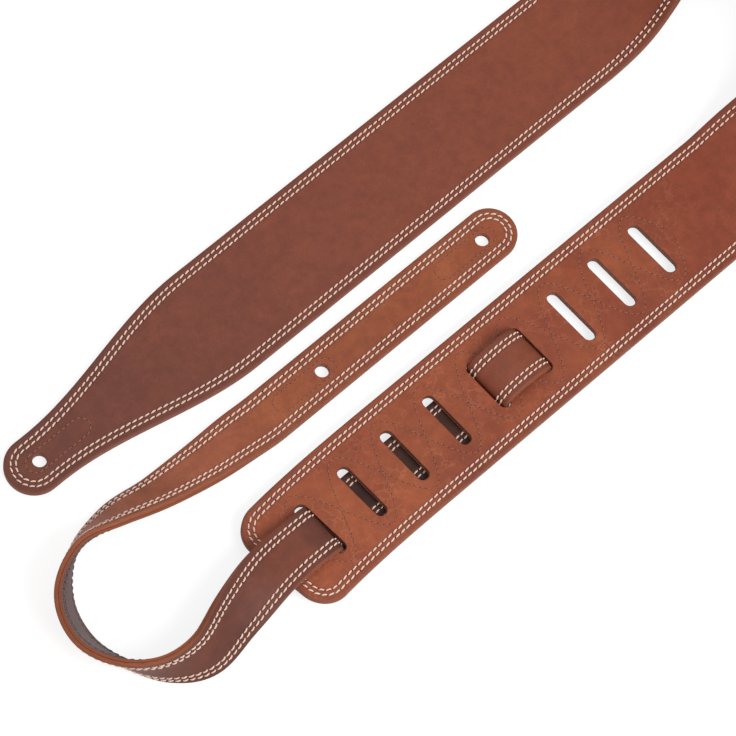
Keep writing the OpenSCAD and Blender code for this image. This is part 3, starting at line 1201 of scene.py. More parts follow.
@dataclass(frozen=True)
class GrainLeather:
    """Waxed full-grain leather: clouded colour, fine grain, scuffs, burnished edges, and painted
    shade in the stitch grooves.
    """

    name: str
    # Tones along the lay. The tail's go near-black where it runs under the slots: painted shade.
    tones: tuple[tuple[float, Colour], ...]
    length: float
    cloud: Colour
    dusk: Colour
    edge: Colour
    # Colour of the painted shade in the stitch grooves; also the dark layers in the cut edge.
    groove: Colour
    scuff: Colour
    scuff_share: float
    worn_until: float
    cloud_share: float = 0.6
    dusk_share: float = 0.5
    speck_share: float = 0.6
    groove_shade_share: float = 0.75
    wear_fade: float = 0.08
    wear_left: float = 0.16
    roughness: tuple[float, float] = (0.5, 0.66)
    specular: float = 0.35

    CLOUDS = Noise(34, rough=0.55, warp=0.5, low=(0.38, 0.0), high=(0.66, 1.0))
    DUSK = Noise(24, rough=0.55, warp=0.4, low=(0.42, 0.0), high=(0.7, 1.0))
    DUSK_SHIFT = (3.1, 1.7, 0.4)
    MOTTLE = Noise(190, detail=4.0, low=(0.3, 0.86), high=(0.7, 1.1))
    SPECKS = Noise(1500, detail=2.0, low=(0.32, 0.8), high=(0.62, 1.06))
    EDGE_LAYERS = Noise(900, low=(0.35, 0.0), high=(0.7, 0.55))
    EDGE_STRETCH = (0.25, 0.25, 3.0)
    SHINE = Noise(90, detail=4.0)
    RIPPLE = Noise(60)
    RIPPLE_RELIEF = Relief(0.25, 0.35)
    PORES = 1150
    PORE_RELIEF = Relief(0.3, 0.09)
    GRAIN = Noise(2600, detail=2.0)
    GRAIN_RELIEF = Relief(0.25, 0.05)
    SCUFF_RELIEF = Relief(0.3, 0.06)
    SCUFF_PATCHES = Noise(42, low=(0.42, 0.0), high=(0.62, 1.0))
    CREASES = 95
    CREASE_WIDTH = 0.07
    CREASE_WANDER = 130
    CREASE_PUSH = 0.02

    def material(self) -> bpy.types.Material:
        """Makes the material."""
        bench = NodeBench(self.name, self.specular)
        flat = bench.flat()
        split = bench.node("ShaderNodeSeparateXYZ", {0: flat})
        along = bench.node(
            "ShaderNodeMath",
            {0: split.outputs[0], 1: self.length * MM},
            operation="DIVIDE",
            use_clamp=True,
        ).outputs["Value"]
        faded = self.worn_until + self.wear_fade
        worn = bench.ramp(along, (self.worn_until, 1.0), (faded, self.wear_left))
        scuffs = bench.times(self._scuffs(bench, flat), worn)
        bench.finish("Base Color", self._tone(bench, flat, along, worn, scuffs))
        low, high = self.roughness
        shine = {"Value": bench.noise(flat, self.SHINE), "To Min": low, "To Max": high}
        bench.finish("Roughness", bench.node("ShaderNodeMapRange", shine).outputs["Result"])
        soft = bench.bump(bench.noise(flat, self.RIPPLE), self.RIPPLE_RELIEF)
        pores = bench.bump(bench.cells(flat, self.PORES), self.PORE_RELIEF, soft)
        grain = bench.bump(bench.noise(flat, self.GRAIN), self.GRAIN_RELIEF, pores)
        bench.finish("Normal", bench.bump(scuffs, self.SCUFF_RELIEF, grain))
        return bench.material

    def _tone(
        self, bench: NodeBench, flat: object, along: object, worn: object, scuffs: object
    ) -> bpy.types.NodeSocket:
        """The leather's colour, from its tones along the strap to its marks and its edge. A tone
        ramp can hold painted shade, as the tail's does under the slots.

        Args:
            bench: Where the nodes go.
            flat: Flat places on the leather.
            along: How far along the strap they are, from 0 to 1.
            worn: How worn the leather is there.
            scuffs: How scuffed it is there.

        Returns:
            The colour.
        """
        clouds = bench.times(bench.toned(flat, self.CLOUDS), worn)
        base = bench.ramp(along, *self.tones)
        tone = bench.mixed(bench.times(clouds, self.cloud_share), base, self.cloud)
        shift = {0: flat, 1: self.DUSK_SHIFT}
        shifted = bench.node("ShaderNodeVectorMath", shift, operation="ADD").outputs["Vector"]
        dusk = bench.times(bench.toned(shifted, self.DUSK), worn)
        tone = bench.mixed(bench.times(dusk, self.dusk_share), tone, self.dusk)
        tone = bench.mixed(1.0, tone, bench.toned(flat, self.MOTTLE), "MULTIPLY")
        tone = bench.mixed(self.speck_share, tone, bench.toned(flat, self.SPECKS), "MULTIPLY")
        tone = bench.mixed(bench.times(scuffs, self.scuff_share), tone, self.scuff)
        # Painted shade: the groove mark darkens the stitch grooves and the margin towards the
        # groove colour.
        painted_groove_shade = bench.times(bench.mark("groove"), self.groove_shade_share)
        tone = bench.mixed(painted_groove_shade, tone, self.groove)
        layers = bench.toned(bench.stretched(flat, self.EDGE_STRETCH), self.EDGE_LAYERS)
        edge = bench.mixed(layers, self.edge, self.groove)
        return bench.mixed(bench.mark("burnish"), tone, edge)

    def _scuffs(self, bench: NodeBench, flat: object) -> bpy.types.NodeSocket:
        """Fine creases and scuffs in patches, from 0 to 1.

        Args:
            bench: Where the nodes go.
            flat: Flat places on the leather.

        Returns:
            How scuffed the leather is.
        """
        wander = bench.node("ShaderNodeTexNoise", {"Vector": flat, "Scale": self.CREASE_WANDER})
        push = bench.node(
            "ShaderNodeVectorMath",
            {0: wander.outputs["Color"], "Scale": self.CREASE_PUSH},
            operation="SCALE",
        )
        pushed = bench.node(
            "ShaderNodeVectorMath", {0: flat, 1: push.outputs["Vector"]}, operation="ADD"
        )
        creases = bench.cells(pushed.outputs["Vector"], self.CREASES, "DISTANCE_TO_EDGE")
        thin = bench.ramp(creases, (0.0, 1.0), (self.CREASE_WIDTH, 0.0))
        return bench.times(thin, bench.toned(flat, self.SCUFF_PATCHES))


@dataclass(frozen=True)
class SplitLeather:
    """The fuzzy flesh side of a split backing, with its own cut edge."""

    name: str
    colour: Colour
    fibre: Colour
    edge: Colour
    roughness: float = 0.92
    specular: float = 0.2
    sheen: float = 0.25
    sheen_roughness: float = 0.5

    FIBRES = Noise(1100, detail=4.0, rough=0.7, warp=0.6, low=(0.35, 0.0), high=(0.68, 1.0))
    FIBRE_STRETCH = (1.0, 1.6, 1.0)
    FIBRE_RELIEF = Relief(0.55, 0.25)
    CLOUDS = Noise(70, low=(0.3, 0.85), high=(0.7, 1.12))

    def material(self) -> bpy.types.Material:
        """Makes the material."""
        bench = NodeBench(self.name, self.specular)
        flat = bench.flat()
        fibres = bench.noise(bench.stretched(flat, self.FIBRE_STRETCH), self.FIBRES)
        lit = bench.ramp(fibres, self.FIBRES.low, self.FIBRES.high)
        tone = bench.mixed(lit, self.colour, self.fibre)
        tone = bench.mixed(1.0, tone, bench.toned(flat, self.CLOUDS), "MULTIPLY")
        bench.finish("Base Color", bench.mixed(bench.mark("burnish"), tone, self.edge))
        bench.finish("Roughness", self.roughness)
        bench.finish("Sheen Weight", self.sheen)
        bench.finish("Sheen Roughness", self.sheen_roughness)
        bench.finish("Normal", bench.bump(fibres, self.FIBRE_RELIEF))
        return bench.material


@dataclass(frozen=True)
class WaxedThread:
    """Twisted thread drawn through wax."""

    name: str
    colour: Colour
    shade: Colour
    roughness: float = 0.55
    specular: float = 0.4
    twist_deg: float = 38.0
    plies: float = 420.0

    SHADED = ((0.15, 1.0), (0.6, 0.0))
    PLY_RELIEF = Relief(0.5, 0.08)

    def material(self) -> bpy.types.Material:
        """Makes the material."""
        bench = NodeBench(self.name, self.specular)
        ply = bench.node("ShaderNodeAttribute", attribute_name="ply").outputs["Vector"]
        turn = {"Vector": ply, "Rotation": (0.0, 0.0, math.radians(self.twist_deg))}
        turned = bench.node("ShaderNodeMapping", turn).outputs["Vector"]
        strands = bench.node(
            "ShaderNodeTexWave",
            {"Vector": turned, "Scale": self.plies},
            wave_type="BANDS",
            bands_direction="X",
        ).outputs["Fac"]
        shaded = bench.ramp(strands, *self.SHADED)
        bench.finish("Base Color", bench.mixed(shaded, self.colour, self.shade))
        bench.finish("Roughness", self.roughness)
        bench.finish("Normal", bench.bump(strands, self.PLY_RELIEF))
        return bench.material


@dataclass(frozen=True)
class ShadedAwlHole:
    """Painted shade down an awl hole: a dark disc stands for the shadow inside it."""

    name: str
    colour: Colour
    roughness: float = 0.9
    specular: float = 0.1

    DEPTH = Noise(2000, detail=2.0, rough=0.55, low=(0.3, 0.7), high=(0.7, 1.1))

    def material(self) -> bpy.types.Material:
        """Makes the material."""
        bench = NodeBench(self.name, self.specular)
        where = bench.node("ShaderNodeTexCoord").outputs["Object"]
        # Mottled painted shade across the disc.
        depth = bench.toned(where, self.DEPTH)
        bench.finish("Base Color", bench.mixed(1.0, self.colour, depth, "MULTIPLY"))
        bench.finish("Roughness", self.roughness)
        return bench.material


# ---- sewing --------------------------------------------------------------------------------


@dataclass(frozen=True)
class Stitch:
    """Sizes of one kind of stitch, in millimetres, and how far under the face its line lies."""

    pitch: float
    length: float
    thread: float
    rise: float
    sink: float
    slant_deg: float
    hole: float
    under: float

    def inputs(self) -> dict[str, float]:
        """The sizes by the names of the sewing tree's inputs, in metres and radians."""
        return {
            "Pitch": self.pitch * MM,
            "Length": self.length * MM,
            "Thread radius": self.thread * MM,
            "Rise": self.rise * MM,
            "Sink": self.sink * MM,
            "Slant": math.radians(self.slant_deg),
            "Hole radius": self.hole * MM,
        }


CREAM_STITCH = Stitch(
    pitch=3.5, length=2.9, thread=0.46, rise=1.0, sink=0.25, slant_deg=9, hole=0.36, under=0.22
)
BROWN_STITCH = Stitch(
    pitch=3.0, length=2.2, thread=0.32, rise=0.5, sink=0.2, slant_deg=6, hole=0.24, under=0.06
)


class SewingTree:
    """A Geometry Nodes tree that sews stitches along lines that lie on leather."""

    SIZES = ("Pitch", "Length", "Thread radius", "Rise", "Sink", "Slant", "Hole radius")
    INPUTS = dict.fromkeys(SIZES, "NodeSocketFloat") | {
        "Seed": "NodeSocketInt",
        "Thread": "NodeSocketMaterial",
        "Hole": "NodeSocketMaterial",
    }
    ALONG_STEPS = 6
    ROUND_STEPS = 6
    END_THINNING = 0.4
    THINNING_POWER = 3.0
    HOLE_DEPTH = 0.12
    RANDOM_LOW = 2
    RANDOM_HIGH = 3
    RANDOM_RESULT = 1
    TURN_PLAY = 0.045
    SIZE_PLAY = (0.94, 1.05)

    def __init__(self) -> None:
        """Builds the tree."""
        self.tree = bpy.data.node_groups.new("sewing", "GeometryNodeTree")
        interface = self.tree.interface
        interface.new_socket("Geometry", in_out="INPUT", socket_type="NodeSocketGeometry")
        self.identifiers = {}
        for name, kind in self.INPUTS.items():
            socket = interface.new_socket(name, in_out="INPUT", socket_type=kind)
            self.identifiers[name] = socket.identifier
        interface.new_socket("Geometry", in_out="OUTPUT", socket_type="NodeSocketGeometry")
        self.given = self.tree.nodes.new("NodeGroupInput").outputs
        self._wire()

    def _node(
        self, kind: str, inputs: dict[str | int, object] | None = None, **settings: object
    ) -> bpy.types.Node:
        """Places a node, as place_node does."""
        return place_node(self.tree, kind, inputs, **settings)

    def _maths(self, operation: str, first: object, second: object = 0.0) -> bpy.types.NodeSocket:
        """Two numbers put together."""
        return self._node("ShaderNodeMath", {0: first, 1: second}, operation=operation).outputs[0]

    def _wander(self, low: float, high: float) -> bpy.types.NodeSocket:
        """A random number for each stitch, from low to high."""
        play = {self.RANDOM_LOW: low, self.RANDOM_HIGH: high, "Seed": self.given["Seed"]}
        return self._node("FunctionNodeRandomValue", play).outputs[self.RANDOM_RESULT]

    def _stitch(self) -> bpy.types.NodeSocket:
        """One stitch: a thread that arches from hole to hole, thinner where it dives."""
        half = self._maths("MULTIPLY", self.given["Length"], 0.5)
        down = self._maths("MULTIPLY", self.given["Sink"], -1.0)
        back = self._maths("MULTIPLY", half, -1.0)
        start = self._node("ShaderNodeCombineXYZ", {0: back, 2: down})
        middle = self._node("ShaderNodeCombineXYZ", {2: self.given["Rise"]})
        end = self._node("ShaderNodeCombineXYZ", {0: half, 2: down})
        line = self._node(
            "GeometryNodeCurveQuadraticBezier",
            {
                "Resolution": self.ALONG_STEPS,
                "Start": start.outputs[0],
                "Middle": middle.outputs[0],
                "End": end.outputs[0],
            },
        )
        share = self._node("GeometryNodeSplineParameter").outputs["Factor"]
        side = self._maths("SUBTRACT", self._maths("MULTIPLY", share, 2.0), 1.0)
        thin = self._maths("POWER", self._maths("ABSOLUTE", side), self.THINNING_POWER)
        thinned = self._maths("MULTIPLY", thin, self.END_THINNING)
        radius = self._maths("SUBTRACT", 1.0, thinned)
        profile = self._node(
            "GeometryNodeCurvePrimitiveCircle",
            {"Resolution": self.ROUND_STEPS, "Radius": self.given["Thread radius"]},
            mode="RADIUS",
        )
        thread = self._node(
            "GeometryNodeCurveToMesh",
            {
                "Curve": line.outputs["Curve"],
                "Profile Curve": profile.outputs["Curve"],
                "Scale": radius,
                "Fill Caps": True,
            },
        )
        where = self._node("GeometryNodeInputPosition").outputs[0]
        ply = self._node(
            "GeometryNodeStoreNamedAttribute",
            {"Geometry": thread.outputs["Mesh"], "Name": "ply", "Value": where},
            data_type="FLOAT_VECTOR",
        )
        return ply.outputs["Geometry"]

    def _awl_hole(self) -> bpy.types.NodeSocket:
        """A dark disc between two stitches: painted shade down the awl hole."""
        dent = self._node(
            "GeometryNodeMeshCylinder",
            {
                "Vertices": self.ROUND_STEPS,
                "Radius": self.given["Hole radius"],
                "Depth": self.HOLE_DEPTH * MM,
            },
        )
        beside = self._node(
            "ShaderNodeCombineXYZ", {0: self._maths("MULTIPLY", self.given["Pitch"], 0.5)}
        )
        moved = self._node(
            "GeometryNodeTransform",
            {"Geometry": dent.outputs["Mesh"], "Translation": beside.outputs[0]},
        )
        return moved.outputs["Geometry"]

    def _wire(self) -> None:
        """Joins the tree from its lines to its finished stitches."""
        line = self._node("GeometryNodeMeshToCurve", {"Mesh": self.given["Geometry"]})
        even = self._node(
            "GeometryNodeResampleCurve",
            {"Curve": line.outputs["Curve"], "Length": self.given["Pitch"]},
            mode="LENGTH",
        )
        tangent = self._node("GeometryNodeInputTangent").outputs[0]
        out = self._node(
            "GeometryNodeInputNamedAttribute", {"Name": "out"}, data_type="FLOAT_VECTOR"
        ).outputs["Attribute"]
        upright = self._node("FunctionNodeAlignRotationToVector", {"Vector": out}, axis="Z")
        headed = self._node(
            "FunctionNodeAlignRotationToVector",
            {"Rotation": upright.outputs[0], "Vector": tangent},
            axis="X",
            pivot_axis="Z",
        )
        turn = self._maths(
            "ADD", self.given["Slant"], self._wander(-self.TURN_PLAY, self.TURN_PLAY)
        )
        slant = self._node(
            "FunctionNodeAxisAngleToRotation", {"Axis": (0.0, 0.0, 1.0), "Angle": turn}
        )
        slanted = self._node(
            "FunctionNodeRotateRotation",
            {"Rotation": headed.outputs[0], "Rotate By": slant.outputs[0]},
            rotation_space="LOCAL",
        )
        finished = []
        for shape, rotation, scale, material in (
            (self._stitch(), slanted.outputs[0], self._wander(*self.SIZE_PLAY), "Thread"),
            (self._awl_hole(), headed.outputs[0], (1.0, 1.0, 1.0), "Hole"),
        ):
            placed = self._node(
                "GeometryNodeInstanceOnPoints",
                {
                    "Points": even.outputs["Curve"],
                    "Instance": shape,
                    "Rotation": rotation,
                    "Scale": scale,
                },
            )
            real = self._node("GeometryNodeRealizeInstances", {0: placed.outputs["Instances"]})
            smooth = self._node("GeometryNodeSetShadeSmooth", {0: real.outputs[0]})
            dressed = self._node(
                "GeometryNodeSetMaterial",
                {"Geometry": smooth.outputs[0], "Material": self.given[material]},
            )
            finished.append(dressed.outputs[0])
        both = self._node("GeometryNodeJoinGeometry")
        for geometry in reversed(finished):
            self.tree.links.new(geometry, both.inputs[0])
        self._node("NodeGroupOutput", {0: both.outputs[0]})

    def sew(
        self,
        name: str,
        lines: list[tuple[np.ndarray, np.ndarray]],
        stitch: Stitch,
        seed: int,
        thread: bpy.types.Material,
        hole: bpy.types.Material,
    ) -> bpy.types.Object:
        """Sews along lines and returns one plain mesh.

        Args:
            name: The piece's name.
            lines: For each line, its places in millimetres and the directions out of the face.
            stitch: The stitch's sizes.
            seed: Fixes the small differences between stitches.
            thread: The thread's material.
            hole: The material of the dark discs at the awl holes, which are painted shade.

        Returns:
            The finished piece.
        """
        places = np.concatenate([line for line, _ in lines]) * MM
        outs = np.concatenate([out for _, out in lines])
        edges, start = [], 0
        for line, _ in lines:
            edges += [(start + k, start + k + 1) for k in range(len(line) - 1)]
            start += len(line)
        mesh = bpy.data.meshes.new(name + "_lines")
        mesh.from_pydata(places.tolist(), edges, [])
        mesh.attributes.new("out", "FLOAT_VECTOR", "POINT").data.foreach_set("vector", outs.ravel())
        guide = bpy.data.objects.new(name + "_lines", mesh)
        bpy.context.scene.collection.objects.link(guide)
        modifier = guide.modifiers.new("sewing", "NODES")
        modifier.node_group = self.tree
        given = stitch.inputs() | {"Seed": seed, "Thread": thread, "Hole": hole}
        for key, value in given.items():
            modifier[self.identifiers[key]] = value
        graph = bpy.context.evaluated_depsgraph_get()
        made = bpy.data.meshes.new_from_object(
            guide.evaluated_get(graph), preserve_all_data_layers=True, depsgraph=graph
        )
        made.name = name
        piece = bpy.data.objects.new(name, made)
        bpy.context.scene.collection.objects.link(piece)
        guide.modifiers.clear()
        bpy.data.objects.remove(guide)
        return piece


# ---- putting pieces on their bodies ----------------------------------------------------------


@dataclass(frozen=True)
class Hinge:
    """Where a piece crosses between two bodies: the first before start, the second after end."""

    first: str
    second: str
    start: float
    end: float


@dataclass(frozen=True)
class Placing:
    """Where along its lay a cut's zero lies, and whether the cut runs back along the lay."""

    zero: float = 0.0
    runs_back: bool = False

    def on_lay(self, flat: np.ndarray) -> np.ndarray:
        """Moves a cut's places to their places along the lay.

        Args:
            flat: Rows of along, across and up on the cut.

        Returns:
            Rows of along, across and up on the lay.
        """
        if self.runs_back:
            return np.column_stack([self.zero - flat[:, 0], -flat[:, 1], flat[:, 2]])
        return flat + np.array([self.zero, 0.0, 0.0])


@dataclass(frozen=True)
class Stretch:
    """A stretch of a strap: its cut, what it rides on, and the parts of the frame it stands for."""

    name: str
    cut: Cut
    on: str | Hinge
    parts: tuple[str, ...]
    placing: Placing = Placing()


def seat(piece: bpy.types.Object, on: str | Hinge, nodes: Sequence[str]) -> None:
    """Rides a piece on its body, or leaves it on no body across a hinge, and hides what it stands
    for.

    Args:
        piece: The finished piece.
        on: A body's name, or the hinge that the piece crosses.
        nodes: CAD nodes that it replaces.
    """
    if isinstance(on, Hinge):
        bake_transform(piece)
    else:
        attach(piece, on)
    if nodes:
        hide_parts(*nodes)
    mesh = piece.data
    LOG.info("%s: %d vertices, %d faces", piece.name, len(mesh.vertices), len(mesh.polygons))


SHARP_DEG = 42


def lay_sheet(
    name: str, sheet: Sheet, lay: Lay, material: bpy.types.Material, placing: Placing
) -> bpy.types.Object:
    """Lays a flat sheet and makes its piece.

    Args:
        name: The piece's name.
        sheet: The flat sheet.
        lay: Where it goes.
        material: Its finish.
        placing: Where along the lay its cut goes.

    Returns:
        The piece.
    """
    flat = placing.on_lay(np.concatenate(sheet.places))
    marks = np.concatenate(sheet.marks)
    mesh = bpy.data.meshes.new(name)
    mesh.from_pydata((lay.place(flat) * MM).tolist(), [], sheet.faces)
    mesh.attributes.new("flat", "FLOAT_VECTOR", "POINT").data.foreach_set(
        "vector", (flat * MM).astype(np.float32).ravel()
    )
    # The groove mark holds the darker margin and the painted shade in the stitch grooves.
    for column, mark in enumerate(("burnish", "groove")):
        mesh.attributes.new(mark, "FLOAT", "POINT").data.foreach_set(
            "value", marks[:, column].astype(np.float32)
        )
    work = bmesh.new()
    work.from_mesh(mesh)
    loose = [v for v in work.verts if not v.link_faces]
    bmesh.ops.delete(work, geom=loose, context="VERTS")
    open_edges = [e for e in work.edges if len(e.link_faces) == 1]
    caps = bmesh.ops.holes_fill(work, edges=open_edges, sides=0)["faces"]
    bmesh.ops.recalc_face_normals(work, faces=work.faces)
    bmesh.ops.triangulate(work, faces=caps)
    work.to_mesh(mesh)
    work.free()
    mesh.polygons.foreach_set("use_smooth", [True] * len(mesh.polygons))
    mesh.set_sharp_from_angle(angle=math.radians(SHARP_DEG))
    mesh.materials.append(material)
    piece = bpy.data.objects.new(name, mesh)
    bpy.context.scene.collection.objects.link(piece)
    return piece


@dataclass(frozen=True)
class Finishes:
    """Every material that the strap is made in."""

    strap: bpy.types.Material
    tail: bpy.types.Material
    backing: bpy.types.Material
    patch: bpy.types.Material
    cream: bpy.types.Material
    brown: bpy.types.Material
    bobbin: bpy.types.Material
    # Dark discs at the awl holes: painted shade.
    hole: bpy.types.Material
    brown_hole: bpy.types.Material

    @classmethod
    def made(cls, strap_length: float, tail_length: float) -> "Finishes":
        """Makes the materials.

        Args:
            strap_length: Length of the wide strap's lay.
            tail_length: Length of the tail's lay.

        Returns:
            The finishes.
        """
        strap = GrainLeather(
            name="strap_leather",
            length=strap_length,
            tones=(
                (0.0, srgb(156, 78, 51)),
                (0.16, srgb(152, 74, 47)),
                (0.3, srgb(140, 64, 40)),
                (0.62, srgb(140, 70, 48)),
                (0.82, srgb(132, 69, 51)),
                (0.93, srgb(116, 64, 52)),
                (1.0, srgb(114, 66, 53)),
            ),
            cloud=srgb(176, 94, 56),
            dusk=srgb(124, 58, 42),
            worn_until=0.235,
            edge=srgb(142, 82, 60),
            # Painted shade in the stitch grooves, and the dark layers of the edge.
            groove=srgb(88, 50, 42),
            scuff=srgb(196, 122, 90),
            scuff_share=0.34,
        )
        tail = GrainLeather(
            name="tail_leather",
            length=tail_length,
            tones=(
                (0.0, srgb(159, 81, 50)),
                (0.14, srgb(149, 74, 45)),
                (0.25, srgb(158, 84, 53)),
                (0.33, srgb(184, 106, 78)),
                (0.5, srgb(134, 70, 50)),
                (0.55, srgb(102, 54, 40)),
                (0.63, srgb(94, 48, 36)),
                (0.71, srgb(124, 65, 49)),
                # 0.745 to 0.9: the tail under the slots, painted near-black as the shade cast by
                #               the strap.
                (0.745, srgb(42, 26, 22)),
                (0.9, srgb(42, 26, 22)),
                (0.92, srgb(138, 71, 50)),
                (1.0, srgb(132, 68, 44)),
            ),
            cloud=srgb(172, 96, 58),
            dusk=srgb(128, 64, 46),
            worn_until=0.45,
            edge=srgb(162, 90, 56),
            # Painted shade in the stitch grooves, and the dark layers of the edge.
            groove=srgb(92, 52, 42),
            scuff=srgb(176, 108, 78),
            scuff_share=0.25,
        )
        backing = SplitLeather(
            name="backing_leather",
            colour=srgb(82, 54, 52),
            fibre=srgb(106, 76, 74),
            edge=srgb(150, 82, 54),
        )
        patch = SplitLeather(
            name="patch_leather",
            colour=srgb(84, 56, 44),
            fibre=srgb(104, 72, 56),
            edge=srgb(90, 60, 46),
        )
        cream = WaxedThread("cream_thread", srgb(255, 228, 212), srgb(240, 194, 172))
        brown = WaxedThread("brown_thread", srgb(166, 109, 90), srgb(136, 84, 67))
        bobbin = WaxedThread("bobbin_thread", srgb(124, 98, 90), srgb(88, 66, 60))
        return cls(
            strap=strap.material(),
            tail=tail.material(),
            backing=backing.material(),
            patch=patch.material(),
            cream=cream.material(),
            brown=brown.material(),
            bobbin=bobbin.material(),
            # Dark discs at the awl holes: painted shade down the holes.
            hole=ShadedAwlHole("awl_hole", srgb(78, 40, 30)).material(),
            brown_hole=ShadedAwlHole("small_awl_hole", srgb(120, 64, 47)).material(),
        )


@dataclass
class Strip:
    """A strap of two cemented layers: it cuts, lays and sews its own stretches."""

    lay: Lay
    thickness: float
    back_t: float
    row_inset: float
    leather: bpy.types.Material
    finishes: Finishes
    sewing: SewingTree
    slot: str
    row_spacing: float = 2.6
    glue_t: float = 0.1
    backing_round_across: float = 0.5
    backing_round_up: float = 0.4

    def rows(self) -> tuple[float, float]:
        """Insets of the two rows of sewing."""
        return self.row_inset, self.row_inset + self.row_spacing

    def rim(self, face: Face) -> Rim:
        """The edge finish of one layer, with heights from the strip's middle.

        Args:
            face: Which layer.

        Returns:
            Its rim.
        """
        bottom = -self.thickness / 2
        if face is Face.FRONT:
            return Rim(bottom + self.back_t + self.glue_t, -bottom, face, self.rows())
        return Rim(
            bottom,
            bottom + self.back_t,
            face,
            self.rows(),
            round_across=self.backing_round_across,
            round_up=self.backing_round_up,
        )

    def make(self, stretch: Stretch, seed: int) -> None:
        """Makes both layers of a stretch and sews its rows.

        Args:
            stretch: The stretch.
            seed: Fixes the small differences between stitches.
        """
        for face, material, slot in (
            (Face.FRONT, self.leather, self.slot),
            (Face.BACKING, self.finishes.backing, "backing_leather"),
        ):
            layer = face.name.lower()
            sheet = Sheet(stretch.cut, self.rim(face))
            piece = lay_sheet(f"{stretch.name}_{layer}", sheet, self.lay, material, stretch.placing)
            seat(piece, stretch.on, [f"{part}_{layer}" for part in stretch.parts])
        self._sew_rows(stretch, seed)

    def _sew_rows(self, stretch: Stretch, seed: int) -> None:
        """Sews both rows of a stretch: the cream top thread, and the brown thread beneath.

        Args:
            stretch: The stretch.
            seed: Fixes the small differences between stitches.
        """
        finishes = self.finishes
        stitches = [f"{part}_stitches" for part in stretch.parts]
        for face, ending, thread, nodes, slot in (
            (Face.FRONT, "thread", finishes.cream, stitches, "cream_thread"),
            (Face.BACKING, "thread_beneath", finishes.bobbin, [], "brown_thread"),
        ):
            lines = [
                self._line(row, face, CREAM_STITCH, stretch.placing)
                for inset in self.rows()
                for row in stretch.cut.rows(inset, CREAM_STITCH.pitch / 2)
            ]
            name = f"{stretch.name}_{ending}"
            piece = self.sewing.sew(name, lines, CREAM_STITCH, seed, thread, finishes.hole)
            seat(piece, stretch.on, nodes)

    def _line(
        self, flat: np.ndarray, face: Face, stitch: Stitch, placing: Placing
    ) -> tuple[np.ndarray, np.ndarray]:
        """Lays one line of sewing.

        Args:
            flat: Rows of along and across on the cut.
            face: Which face it lies on.
            stitch: The stitch that it is sewn in.
            placing: Where along the lay the cut goes.

        Returns:
            Its places, and the directions out of the face there.
        """
        up = face.value * (self.thickness / 2 - stitch.under)
        full = placing.on_lay(np.column_stack([flat, np.full(len(flat), up)]))
        return self.lay.place(full), face.value * self.lay.face(full[:, 0])

    def patch(self, name: str, stretch: Stretch, part: str, seed: int) -> None:
        """Lays the patch round a stretch's button hole and sews it down.

        Args:
            name: What the patch's pieces are called.
            stretch: The stretch that has the hole.
            part: The part of the frame that the patch belongs to.
            seed: Fixes the small differences between stitches.
        """
        hole = stretch.cut.holes[0]
        shape = PatchShape(hole.along)
        patch = Patch(shape, hole, self.back_t + self.glue_t - self.thickness / 2)
        piece = lay_sheet(name, patch, self.lay, self.finishes.patch, stretch.placing)
        seat(piece, stretch.on, [f"{part}_hole_patch"])
        nodes = [f"{part}_patch_stitches"]
        self.sew_brown(f"{name}_thread", [shape.seam()], stretch, nodes, seed)

    def sew_brown(
        self, name: str, paths: list[np.ndarray], stretch: Stretch, nodes: list[str], seed: int
    ) -> None:
        """Sews brown thread along flat paths, front and back.

        Args:
            name: What the piece is called.
            paths: Rows of along and across on the stretch's cut, for each path.
            stretch: The stretch that they lie on.
            nodes: CAD nodes that the thread replaces.
            seed: Fixes the small differences between stitches.
        """
        lines = [
            self._line(path, face, BROWN_STITCH, stretch.placing) for face in Face for path in paths
        ]
        thread, hole = self.finishes.brown, self.finishes.brown_hole
        piece = self.sewing.sew(name, lines, BROWN_STITCH, seed, thread, hole)
        seat(piece, stretch.on, nodes)


# ---- the wide strap --------------------------------------------------------------------------


